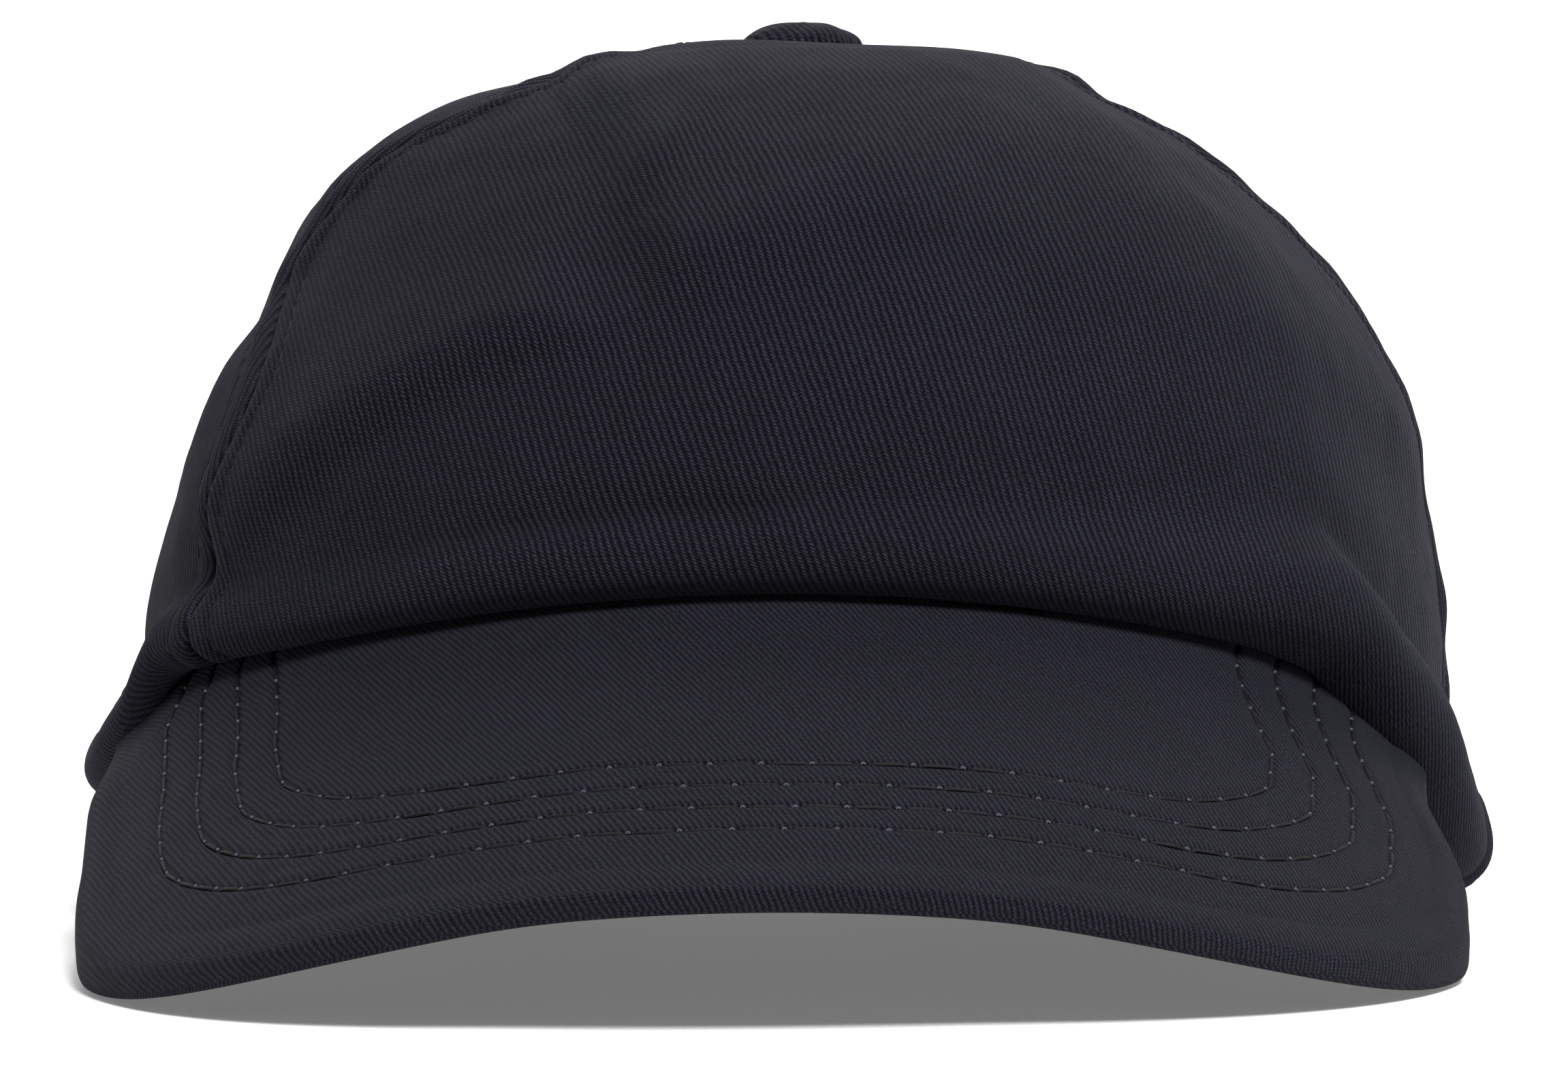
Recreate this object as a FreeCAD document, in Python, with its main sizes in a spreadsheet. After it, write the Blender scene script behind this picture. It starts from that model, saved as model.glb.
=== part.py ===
import FreeCAD, Part
import Sketcher
import math
import os

# Five-panel soft baseball cap with a curved visor and a rear strap with a hinged clamp buckle.
# Units are millimetres.  +Z is up, the visor points to -Y, the wearer's right is -X.
# The origin is on the surface that the cap rests on, under the middle of the crown.

V = FreeCAD.Vector
doc = FreeCAD.newDocument("baseball_cap")

# ------------------------------------------------------------------ driving dimensions
DIMS = [
    # crown
    ("crown_half_width", 92.5), ("crown_front_depth", 88.5), ("crown_back_depth", 92.5),
    ("crown_height", 112.5), ("crown_exponent", 2.25), ("cloth", 0.9), ("seam_gap", 0.12),
    ("front_seam_deg", 62.0), ("rear_seam_deg", 122.0), ("apex_hole", 2.6),
    ("rim_lift_deg", 69.0), ("rim_rest_deg", 150.0),
    # rear opening
    ("arch_half_width", 36.0), ("arch_height", 44.0), ("binding_radius", 1.0),
    # tapes, sweatband
    ("tape_width", 12.0), ("tape_thick", 0.5),
    ("band_thick", 0.8), ("band_height", 29.0), ("band_front_gap", 1.25), ("band_rear_gap", 4.8),
    ("band_end_deg", 27.0),
    # visor, in the frame of its own bent sheet
    ("visor_bend", 118.0), ("visor_thick", 3.2), ("visor_pitch", 21.0), ("visor_y", -96.0), ("visor_z", 40.87),
    ("visor_half_flat", 94.0), ("visor_reach", 68.1), ("visor_front_arc", 107.0), ("visor_corner", 74.0),
    ("visor_taper", 0.117), ("visor_waist", 1.7), ("visor_tail", 2.6), ("board_thick", 1.9), ("board_inset", 1.4), ("cover_split", 0.04),
    ("stitch_first", 15.3), ("stitch_step", 5.65), ("stitch_wide", 0.55), ("stitch_proud", 0.86),
    # top button
    ("button_radius", 8.2), ("button_top", 117.4), ("button_base", 112.8), ("stud_radius", 1.5),
    ("washer_radius", 6.5), ("washer_thick", 0.7),
    # eyelets
    ("eyelet_outer", 4.4), ("eyelet_bore", 1.75), ("eyelet_hole", 2.35), ("eyelet_side_deg", 94.0),
    ("eyelet_rear_deg", 148.0), ("eyelet_z", 76.0),
    # rear strap and its buckle, concentric with the back of the crown
    ("strap_in", 89.15), ("strap_out", 90.35), ("strap_low", 3.2), ("strap_tall", 17.6), ("strap_start_deg", 53.0),
    ("strap_sweep_deg", 73.0),
    ("buckle_deg", 99.0), ("frame_in", 87.75), ("frame_out", 88.55), ("frame_low", 1.8), ("frame_tall", 20.4),
    ("frame_before", 5.3), ("frame_after", 7.2), ("wall_out", 92.9), ("wall_thick", 0.9), ("wall_after", 4.5),
    ("slot_from", 4.7), ("slot_to", 6.15), ("slot_tall", 18.2),
    ("pin_at", 92.15), ("pin_after", 3.3), ("pin_radius", 0.9), ("pin_fit", 0.05), ("pin_head", 1.35),
    ("knuckle", 1.5), ("lever_in", 91.95), ("lever_out", 92.8), ("lever_before", 6.0), ("lever_low", 3.0), ("lever_tall", 18.0),
    ("lip_out", 94.3), ("lip_wide", 0.6),
    ("tab_out", 89.0), ("tab_in", 87.95), ("tab_loop_in", 87.3), ("tab_end", 24.0), ("tab_low", 3.6), ("tab_tall", 16.8),
    ("label_wide", 26.0), ("label_tall", 17.0), ("label_thick", 0.35),
]
sheet = doc.addObject("Spreadsheet::Sheet", "Dims")
for row, (alias, value) in enumerate(DIMS, start=1):
    sheet.set("A%d" % row, alias)
    sheet.set("B%d" % row, str(value))
    sheet.setAlias("B%d" % row, alias)
doc.recompute()


def d(alias):
    return float(sheet.get(alias))


parts = []


def keep(obj, label):
    obj.Label = label
    parts.append(obj)
    return obj


def feature(label, shape):
    obj = doc.addObject("Part::Feature", label)
    obj.Shape = shape
    obj.Placement = FreeCAD.Placement()
    return keep(obj, label)


# ------------------------------------------------------------------ crown surface
# phi runs from the front (-Y) towards +X; alpha runs from the rim (0) to the apex (pi/2).
A, BF, BB, H, NEXP = d("crown_half_width"), d("crown_front_depth"), d("crown_back_depth"), d("crown_height"), d("crown_exponent")
CLOTH = d("cloth")
RB, PITCH, VY, VZ = d("visor_bend"), math.radians(d("visor_pitch")), d("visor_y"), d("visor_z")


def plan_radius(phi):
    c, s = math.cos(phi), math.sin(phi)
    b = BF if c > 0 else BB
    return 1.0 / math.sqrt((s / A) ** 2 + (c / b) ** 2)


def visor_point(x, fwd, up=0.0):
    """Point of the bent visor sheet: x across, fwd towards the tip, up above the top cloth."""
    n = -RB + math.sqrt((RB + up) ** 2 - x * x)
    return V(x, VY - fwd * math.cos(PITCH) - n * math.sin(PITCH), VZ - fwd * math.sin(PITCH) + n * math.cos(PITCH))


def visor_height(x, y, up=0.0):
    n = -RB + math.sqrt((RB + up) ** 2 - x * x)
    fwd = (VY - y - n * math.sin(PITCH)) / math.cos(PITCH)
    return VZ - fwd * math.sin(PITCH) + n * math.cos(PITCH)


def rim_height(phi, inset=0.0):
    """Height of the crown's bottom edge: on the visor in front, then sweeping down to the resting surface."""
    q = abs(math.degrees(phi))
    q = 360 - q if q > 180 else q
    q0, q1 = d("rim_lift_deg"), d("rim_rest_deg")

    def on_visor(deg):
        p = math.radians(deg)
        r = plan_radius(p) - inset
        return visor_height(r * math.sin(p), -r * math.cos(p)) + 0.2

    if q <= q0:
        return on_visor(q)
    if q >= q1:
        return 0.0
    z0 = on_visor(q0)
    slope = (on_visor(q0) - on_visor(q0 - 0.5)) / 0.5
    span = q1 - q0
    t = (q - q0) / span
    h00, h10 = 2 * t ** 3 - 3 * t ** 2 + 1, t ** 3 - 2 * t ** 2 + t
    return h00 * z0 + h10 * slope * span * 0.8


def outer(phi, alpha):
    """(radius, height) of the crown's outer face."""
    r0, z0 = plan_radius(phi), rim_height(phi)
    e = 2.0 / NEXP
    return r0 * max(math.cos(alpha), 1e-9) ** e, z0 + (H - z0) * max(math.sin(alpha), 0.0) ** e


def alpha_at_radius(phi, rho):
    return math.acos(min(1.0, (rho / plan_radius(phi)) ** (NEXP / 2.0)))


def alpha_at_height(phi, z):
    z0 = rim_height(phi)
    return math.asin(max(0.0, min(1.0, (z - z0) / (H - z0))) ** (NEXP / 2.0))


def crown_point(phi, alpha, depth=0.0):
    """Point at a depth under the outer face, measured square to it in the plane through the axis."""
    rho, z = outer(phi, alpha)
    if depth:
        h = 1e-3
        a0, a1 = max(alpha - h, 0.0), min(alpha + h, math.pi / 2 - 1e-5)
        if alpha < 0.03:
            nr, nz = 1.0, 0.0
        else:
            (r0, z0), (r1, z1) = outer(phi, a0), outer(phi, a1)
            tr, tz = r1 - r0, z1 - z0
            m = math.hypot(tr, tz)
            nr, nz = tz / m, -tr / m
        rho, z = rho - depth * nr, z - depth * nz
        zr = rim_height(phi)
        fix = (rim_height(phi, depth) - zr) if depth > 0 else 0.0
        z += fix * max(0.0, 1.0 - (z - zr) / 9.0)
    return V(rho * math.sin(phi), -rho * math.cos(phi), z)


def alphas(a0, a1, n):
    """Spacing that is finer near the rim, where height changes fastest."""
    return [a0 + (a1 - a0) * (i / (n - 1.0)) ** 1.15 for i in range(n)]


def bspline(grid):
    s = Part.BSplineSurface()
    s.interpolate(grid)
    return s


def plate(outer_grid, inner_grid):
    """Closed solid between two interpolated faces that have the same rows and columns."""
    so, si = bspline(outer_grid), bspline(inner_grid)
    faces = [so.toShape(), si.toShape()]
    u0, u1, v0, v1 = so.bounds()
    w0, w1, t0, t1 = si.bounds()
    for a, b in ((so.uIso(u0), si.uIso(w0)), (so.uIso(u1), si.uIso(w1)), (so.vIso(v0), si.vIso(t0)), (so.vIso(v1), si.vIso(t1))):
        faces.append(Part.makeRuledSurface(a.toShape(), b.toShape()))
    shell = Part.makeShell(faces)
    shell.sewShape(1e-4)
    if shell.ShapeType != "Shell":
        shell = shell.Shells[0]
    solid = Part.Solid(shell)
    if solid.Volume < 0:
        solid.reverse()
    return solid


def crown_plate(phi0, phi1, top_radius, depth0, depth1, nphi, nalpha, phi_at=None):
    go, gi = [], []
    for i in range(nphi):
        t = i / (nphi - 1.0)
        base = phi0 + (phi1 - phi0) * t
        ro, ri = [], []
        for k in range(nalpha):
            f = (k / (nalpha - 1.0)) ** 1.15
            amax = alpha_at_radius(base, top_radius)
            alpha = amax * f
            phi = phi_at(t, alpha) if phi_at else base
            ro.append(crown_point(phi, alpha, depth0))
            ri.append(crown_point(phi, alpha, depth1))
        go.append(ro)
        gi.append(ri)
    return plate(go, gi)


deg = math.radians
FS, RS = deg(d("front_seam_deg")), deg(d("rear_seam_deg"))
GAP = d("seam_gap")
TOP = d("apex_hole")


def seam_phi(centre, side):
    """Panel edge a hair away from a seam, so neighbouring panels do not share a face."""
    return centre + side * (GAP / 2.0) / d("crown_half_width")


panels = {
    "front_panel": crown_plate(seam_phi(-FS, 1), seam_phi(FS, -1), TOP, 0.0, CLOTH, 27, 17),
    "side_panel_left": crown_plate(seam_phi(FS, 1), seam_phi(RS, -1), TOP, 0.0, CLOTH, 15, 17),
    "side_panel_right": crown_plate(seam_phi(-RS, 1), seam_phi(-FS, -1), TOP, 0.0, CLOTH, 15, 17),
    "back_panel_left": crown_plate(seam_phi(RS, 1), seam_phi(math.pi, -1), TOP, 0.0, CLOTH, 15, 17),
    "back_panel_right": crown_plate(seam_phi(-math.pi, 1), seam_phi(-RS, -1), TOP, 0.0, CLOTH, 15, 17),
}

# ------------------------------------------------------------------ rear opening
AW, AH, BR = d("arch_half_width"), d("arch_height"), d("binding_radius")


def arch_wire(grow, y):
    """Half ellipse standing on the resting surface, with straight legs below it."""
    w, h = AW + grow, AH + grow
    pts = [V(w * math.cos(t), y, 6.0 + (h - 6.0) * math.sin(t)) for t in [math.pi * i / 24.0 for i in range(25)]]
    c = Part.BSplineCurve()
    c.interpolate(pts)
    top = c.toShape()
    a, b = V(w, y, 6.0), V(-w, y, 6.0)
    a2, b2 = V(w, y, -8.0), V(-w, y, -8.0)
    return Part.Wire([top, Part.makeLine(b, b2), Part.makeLine(b2, a2), Part.makeLine(a2, a)])


arch_tool = Part.Face(arch_wire(BR + 0.12, 60.0)).extrude(V(0, 60, 0))
for name in ("back_panel_left", "back_panel_right"):
    panels[name] = panels[name].cut(arch_tool)

# ------------------------------------------------------------------ eyelet seats
EZ = d("eyelet_z")
eyelet_sites = {
    "eyelet_side_left": deg(d("eyelet_side_deg")), "eyelet_side_right": -deg(d("eyelet_side_deg")),
    "eyelet_back_left": deg(d("eyelet_rear_deg")), "eyelet_back_right": -deg(d("eyelet_rear_deg")),
}
eyelet_panel = {
    "eyelet_side_left": "side_panel_left", "eyelet_side_right": "side_panel_right",
    "eyelet_back_left": "back_panel_left", "eyelet_back_right": "back_panel_right",
}
eyelet_frames = {}
for name, phi in eyelet_sites.items():
    alpha = alpha_at_height(phi, EZ)
    p, q = crown_point(phi, alpha), crown_point(phi, alpha, 1.0)
    normal = p.sub(q)
    normal.normalize()
    eyelet_frames[name] = (p, normal)
    tool = Part.makeCylinder(d("eyelet_hole"), 12.0, p.sub(normal * 6.0), normal)
    panels[eyelet_panel[name]] = panels[eyelet_panel[name]].cut(tool)

for name in ("front_panel", "side_panel_right", "side_panel_left", "back_panel_right", "back_panel_left"):
    feature(name, panels[name])

# Each embroidered eyelet is a spool: a barrel through the hole with a flange on each side of the cloth.
e_out, e_bore, e_hole = d("eyelet_outer"), d("eyelet_bore"), d("eyelet_hole")
for name, (p, normal) in eyelet_frames.items():
    prof = [V(e_bore, 0, -CLOTH - 1.25), V(e_out - 0.5, 0, -CLOTH - 1.25), V(e_out, 0, -CLOTH - 0.9), V(e_out, 0, -CLOTH - 0.6),
            V(e_hole - 0.08, 0, -CLOTH - 0.6), V(e_hole - 0.08, 0, 0.3), V(e_out, 0, 0.3), V(e_out, 0, 0.6), V(e_out - 0.5, 0, 0.95), V(e_bore, 0, 0.95)]
    ring = Part.Face(Part.makePolygon(prof + [prof[0]])).revolve(V(0, 0, 0), V(0, 0, 1), 360)
    if ring.ShapeType != "Solid":
        ring = ring.Solids[0]
    if ring.Volume < 0:
        ring.reverse()
    obj = doc.addObject("Part::Feature", name)
    obj.Shape = ring
    obj.Placement = FreeCAD.Placement(p, FreeCAD.Rotation(V(0, 0, 1), normal))
    keep(obj, name)

# ------------------------------------------------------------------ binding round the rear opening
# It follows the cut edge on the crown: a bead as thick as the folded tape.
def back_surface_point(x, z, depth):
    """Crown point behind the wearer at a given x and height."""
    zz = max(z, 0.02)
    lo, hi = 1.0, 92.4
    for _ in range(50):
        mid = (lo + hi) / 2.0
        y = mid
        rho = math.hypot(x, y)
        phi = math.atan2(x, -y)
        r_here, _z = outer(phi, alpha_at_height(phi, zz))
        if rho < r_here:
            lo = mid
        else:
            hi = mid
    y = (lo + hi) / 2.0
    rho = math.hypot(x, y)
    k = (rho - depth) / rho
    return V(x * k, y * k, z)


def arch_path(n):
    pts = []
    for i in range(n):
        t = i / (n - 1.0)
        leg = 0.12
        if t < leg:
            pts.append((AW, 1.6 + (6.0 - 1.6) * t / leg))
        elif t > 1 - leg:
            pts.append((-AW, 1.6 + (6.0 - 1.6) * (1 - t) / leg))
        else:
            a = math.pi * (t - leg) / (1 - 2 * leg)
            pts.append((AW * math.cos(a), 6.0 + (AH - 6.0) * math.sin(a)))
    return [back_surface_point(x, z, -0.2) for x, z in pts]


path_pts = arch_path(41)
rings = []
for i, p in enumerate(path_pts):
    a, b = path_pts[max(i - 1, 0)], path_pts[min(i + 1, len(path_pts) - 1)]
    t = b.sub(a)
    t.normalize()
    rings.append(Part.Wire(Part.Circle(p, t, BR).toShape()))
binding = Part.makeLoft(rings[::2], True, False)
feature("rear_arch_binding", binding)

# ------------------------------------------------------------------ tapes over the seams, inside
TW, TT = d("tape_width"), d("tape_thick")


def tape(name, phi_s, start_z=None):
    def phi_at(t, alpha):
        rho, _ = outer(phi_s, alpha)
        return phi_s + (t - 0.5) * TW / max(rho, 12.0)
    go, gi = [], []
    top = alpha_at_radius(phi_s, 12.0)
    low = alpha_at_height(phi_s, start_z if start_z is not None else rim_height(phi_s) + 30.0)
    for i in range(5):
        t = i / 4.0
        ro, ri = [], []
        for k in range(15):
            alpha = low + (top - low) * k / 14.0
            ro.append(crown_point(phi_at(t, alpha), alpha, CLOTH + 0.12))
            ri.append(crown_point(phi_at(t, alpha), alpha, CLOTH + 0.12 + TT))
        go.append(ro)
        gi.append(ri)
    feature(name, plate(go, gi))


tape("seam_tape_front_right", -FS)
tape("seam_tape_front_left", FS)
tape("seam_tape_rear_right", -RS)
tape("seam_tape_rear_left", RS)
tape("seam_tape_centre_back", math.pi, AH + BR + 1.5)

# ------------------------------------------------------------------ sweatband
# A hoop inside the rim, open at the rear; it stands further in behind the strap, and its foot is the turned seam.
BT, BH = d("band_thick"), d("band_height")
band_end = math.pi - deg(d("band_end_deg"))


def band_gap(phi):
    q = abs(math.degrees(phi))
    t = min(1.0, max(0.0, (q - 102.0) / 24.0))
    t = t * t * (3 - 2 * t)
    return d("band_front_gap") + (d("band_rear_gap") - d("band_front_gap")) * t


def band_foot(phi):
    """Lower edge of the band, measured from the rim: it drops behind the visor's root."""
    q = abs(math.degrees(phi))
    s = min(1.0, max(0.0, (q - 70.0) / 14.0))
    return -2.2 + (2.2 + 0.45) * s * s * (3 - 2 * s)


def band_shape():
    n = 73
    go, gi = [], []
    for i in range(n):
        phi = -band_end + 2 * band_end * i / (n - 1.0)
        g, z0, drop = band_gap(phi), rim_height(phi), band_foot(phi)
        ro, ri = [], []
        for k in range(7):
            up = drop + (BH - drop) * k / 6.0
            rho, _z = outer(phi, alpha_at_height(phi, z0 + max(up, 0.0)))
            for row, depth in ((ro, g), (ri, g + BT)):
                rr = rho - depth
                row.append(V(rr * math.sin(phi), -rr * math.cos(phi), z0 + up))
        go.append(ro)
        gi.append(ri)
    return plate(go, gi)


feature("sweatband", band_shape())

# ------------------------------------------------------------------ care label, sewn under the band's top edge
lab_phi = deg(96.0)
g = band_gap(lab_phi)
go, gi = [], []
for i in range(5):
    phi = lab_phi + (i / 4.0 - 0.5) * d("label_wide") / A
    ro, ri = [], []
    for k in range(4):
        up = 18.0 + d("label_tall") * k / 3.0
        z = rim_height(lab_phi) + up
        rho, _z = outer(phi, alpha_at_height(phi, z))
        depth = band_gap(phi) + BT + 0.15
        rr = rho - depth
        ro.append(V(rr * math.sin(phi), -rr * math.cos(phi), z))
        rr -= d("label_thick")
        ri.append(V(rr * math.sin(phi), -rr * math.cos(phi), z))
    go.append(ro)
    gi.append(ri)
feature("care_label", plate(go, gi))


# ------------------------------------------------------------------ helpers for bound primitives
def bind(obj, **exprs):
    for prop, ex in exprs.items():
        obj.setExpression(prop.replace("__", "."), ex)
    return obj


def cylinder(name, radius, height, z="0", start=None, sweep=None):
    c = doc.addObject("Part::Cylinder", name)
    bind(c, Radius=radius, Height=height)
    c.setExpression("Placement.Base.z", z)
    if sweep:
        c.setExpression("Angle", sweep)
        c.Placement = FreeCAD.Placement(V(0, 0, 0), FreeCAD.Rotation(V(0, 0, 1), 10))
        c.setExpression("Placement.Rotation.Angle", start)
        c.setExpression("Placement.Base.z", z)
    return c


def cut(name, base, tool):
    c = doc.addObject("Part::Cut", name)
    c.Base, c.Tool = base, tool
    return c


def fuse(name, shapes):
    f = doc.addObject("Part::MultiFuse", name)
    f.Shapes = shapes
    return f


def sector(name, r_in, r_out, z, height, start, sweep):
    """Part of a ring about the cap's axis; angles run anticlockwise from +X."""
    o = cylinder(name + "_o", r_out, height, z, start, sweep)
    i = cylinder(name + "_i", r_in, height + " + 2", z + " - 1")
    return cut(name, o, i)


D = "Dims."
# ------------------------------------------------------------------ adjusting strap
strap = sector("strap", D + "strap_in", D + "strap_out", D + "strap_low", D + "strap_tall", D + "strap_start_deg", D + "strap_sweep_deg")
keep(strap, "adjusting_strap")

# ------------------------------------------------------------------ buckle frame
f_start = D + "buckle_deg - " + D + "frame_before"
base = sector("frame_base", D + "frame_in", D + "frame_out", D + "frame_low", D + "frame_tall", f_start, D + "frame_before + " + D + "frame_after")
slot = sector("frame_slot", D + "frame_in - 2", D + "frame_out + 2", D + "frame_low + (" + D + "frame_tall - " + D + "slot_tall)/2", D + "slot_tall",
              D + "buckle_deg + " + D + "slot_from", D + "slot_to - " + D + "slot_from")
base_c = cut("frame_base_slotted", base, slot)
wall_lo = sector("frame_wall_low", D + "frame_in", D + "wall_out", D + "frame_low", D + "wall_thick", f_start, D + "frame_before + " + D + "wall_after")
wall_hi = sector("frame_wall_high", D + "frame_in", D + "wall_out", D + "frame_low + " + D + "frame_tall - " + D + "wall_thick", D + "wall_thick", f_start,
                 D + "frame_before + " + D + "wall_after")
frame_solid = fuse("frame_fused", [base_c, wall_lo, wall_hi])


def at_pin(obj, z):
    obj.setExpression("Placement.Base.x", "Dims.pin_at * cos((Dims.buckle_deg + Dims.pin_after) * 1deg)")
    obj.setExpression("Placement.Base.y", "Dims.pin_at * sin((Dims.buckle_deg + Dims.pin_after) * 1deg)")
    obj.setExpression("Placement.Base.z", z)
    return obj


hole = doc.addObject("Part::Cylinder", "frame_pin_hole")
bind(hole, Radius=D + "pin_radius + 0.03", Height=D + "frame_tall + 4")
at_pin(hole, D + "frame_low - 2")
keep(cut("frame_bored", frame_solid, hole), "buckle_frame")

# ------------------------------------------------------------------ buckle pin with two headed ends
shaft = doc.addObject("Part::Cylinder", "pin_shaft")
bind(shaft, Radius=D + "pin_radius", Height=D + "frame_tall + 0.9")
at_pin(shaft, D + "frame_low - 0.45")
heads = []
for k, z in enumerate((D + "frame_low - 0.65", D + "frame_low + " + D + "frame_tall + 0.05")):
    hd = doc.addObject("Part::Cylinder", "pin_head_%d" % k)
    bind(hd, Radius=D + "pin_head", Height="0.6")
    at_pin(hd, z)
    heads.append(hd)
keep(fuse("pin_fused", [shaft] + heads), "buckle_pin")

# ------------------------------------------------------------------ clamp lever
l_start = D + "buckle_deg - " + D + "lever_before"
lever_plate = sector("lever_plate", D + "lever_in", D + "lever_out", D + "lever_low", D + "lever_tall", l_start, D + "lever_before + " + D + "pin_after")
lever_lip = sector("lever_lip", D + "lever_in", D + "lip_out", D + "lever_low", D + "lever_tall", l_start, D + "lip_wide")
knuckle = doc.addObject("Part::Cylinder", "lever_knuckle")
bind(knuckle, Radius=D + "knuckle", Height=D + "lever_tall")
at_pin(knuckle, D + "lever_low")
lever_fused = fuse("lever_fused", [lever_plate, lever_lip, knuckle])
bore = doc.addObject("Part::Cylinder", "lever_bore")
bind(bore, Radius=D + "pin_radius + " + D + "pin_fit", Height=D + "lever_tall + 2")
at_pin(bore, D + "lever_low - 1")
keep(cut("lever_bored", lever_fused, bore), "clamp_lever")

# ------------------------------------------------------------------ fabric tab that holds the buckle to the right back panel
t_start = D + "buckle_deg + 5.35"
tab_outer = sector("tab_outer", D + "tab_in", D + "tab_out", D + "tab_low", D + "tab_tall", t_start, D + "tab_end - 5.35")
tab_loop = sector("tab_loop", D + "tab_loop_in", D + "tab_out", D + "tab_low", D + "tab_tall", t_start, "2.65")
tab_hole = sector("tab_hole", D + "frame_in - 0.06", D + "frame_out + 0.06", D + "tab_low - 1", D + "tab_tall + 2", D + "buckle_deg + 5.95", "1.35")
keep(cut("tab_cut", fuse("tab_fused", [tab_outer, tab_loop]), tab_hole), "buckle_tab")


# ------------------------------------------------------------------ visor: plan outline, then bent layers
def visor_outline(off, n_front=9, n_corner=9, n_side=6):
    """Right half of the outline in the visor's own plane, from the middle of the front edge to the back."""
    w, ln, rf = d("visor_half_flat") - off, d("visor_reach") - off, d("visor_front_arc")
    rc, tap = d("visor_corner") - off, d("visor_taper")
    sc = w - rc
    slope = -sc / rf
    vc = ln - sc * sc / (2 * rf) - rc * math.sqrt(1 + slope * slope)
    pts = [(sc * i / n_front, ln - (sc * i / n_front) ** 2 / (2 * rf)) for i in range(n_front)]
    a0 = math.pi / 2 - math.atan(-slope)
    pts += [(sc + rc * math.cos(a0 * (1 - i / n_corner)), vc + rc * math.sin(a0 * (1 - i / n_corner))) for i in range(n_corner)]
    pts += [(w + tap * (vc - v), v) for v in [vc + (-72.0 - vc) * i / n_side for i in range(n_side + 1)]]
    out = []
    for s, v in pts:
        a = min(1.0, max(0.0, (22.0 - v) / 18.0))
        b = min(1.0, max(0.0, (4.0 - v) / 40.0))
        s -= d("visor_waist") * a * a * (3 - 2 * a) + d("visor_tail") * b * b * (3 - 2 * b)
        out.append((RB * math.sin(s / RB), v))
    return out


def outline_wire(off, z):
    """Closed wire at height z of the visor frame: x across, y backwards (forward is -y)."""
    half = visor_outline(off)
    pts = [V(-x, -v, z) for x, v in half[::-1]] + [V(x, -v, z) for x, v in half[1:]]
    c = Part.BSplineCurve()
    c.interpolate(pts)
    return Part.Wire([c.toShape(), Part.makeLine(pts[-1], pts[0])])


visor_place = FreeCAD.Placement(V(0, VY, VZ), FreeCAD.Rotation(V(1, 0, 0), d("visor_pitch")))


def prism(name, off):
    """Tall block with the visor's outline, in the visor's own frame."""
    o = doc.addObject("Part::Feature", name)
    o.Shape = Part.Face(outline_wire(off, -70.0)).extrude(V(0, 0, 90))
    o.Placement = visor_place
    return o


def layer(name, r_low, r_high):
    """Bent sheet between two radii, its axis along the visor's forward direction."""
    cyl = []
    for tag, r in (("o", r_high), ("i", r_low)):
        c = doc.addObject("Part::Cylinder", name + "_" + tag)
        c.setExpression("Radius", r)
        c.Height = 260 if tag == "o" else 262
        local = FreeCAD.Placement(V(0, -100.0 - (1 if tag == "i" else 0), -RB), FreeCAD.Rotation(V(1, 0, 0), -90))
        c.Placement = visor_place.multiply(local)
        cyl.append(c)
    return cut(name, cyl[0], cyl[1])


def common(name, a, b):
    c = doc.addObject("Part::MultiCommon", name)
    c.Shapes = [a, b]
    return c


def wall_tool(name, inset):
    """The space inside the crown's wall, as a tall elliptical column; the visor stops at it."""
    face = Part.Face(Part.Wire(Part.Ellipse(V(0, 0, -30), A - inset, BF - inset).toShape()))
    front = face.extrude(V(0, 0, 140))
    o = doc.addObject("Part::Feature", name)
    o.Shape = front.fuse(Part.makeBox(400, 200, 140, V(-200, 0, -30))).removeSplitter()
    return o


half = D + "visor_thick/2"
top_r = D + "visor_bend"
full_prism, inset_prism = prism("visor_plan", 0.0), prism("visor_plan_inset", d("board_inset"))
board_prism = prism("visor_plan_board", d("board_inset") + 0.06)
root = wall_tool("crown_wall_root", CLOTH)

top_blank = common("top_cover_blank", full_prism, layer("top_cover_layer", top_r + " - " + half + " + " + D + "cover_split/2", top_r))
top_pocket = common("top_cover_pocket", inset_prism, layer("top_pocket_layer", top_r + " - " + half + " - 1", top_r + " - " + half + " + " + D + "board_thick/2 + 0.04"))
keep(cut("top_cover_trim", cut("top_cover_hollow", top_blank, top_pocket), root), "visor_top_cover")

low_blank = common("under_cover_blank", full_prism, layer("under_cover_layer", top_r + " - " + D + "visor_thick", top_r + " - " + half + " - " + D + "cover_split/2"))
low_pocket = common("under_cover_pocket", inset_prism, layer("under_pocket_layer", top_r + " - " + half + " - " + D + "board_thick/2 - 0.04", top_r + " - " + half + " + 1"))
keep(cut("under_cover_trim", cut("under_cover_hollow", low_blank, low_pocket), root), "visor_under_cover")

board_blank = common("board_blank", board_prism, layer("board_layer", top_r + " - " + half + " - " + D + "board_thick/2", top_r + " - " + half + " + " + D + "board_thick/2"))
keep(cut("board_trim", board_blank, root), "visor_board")

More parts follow.
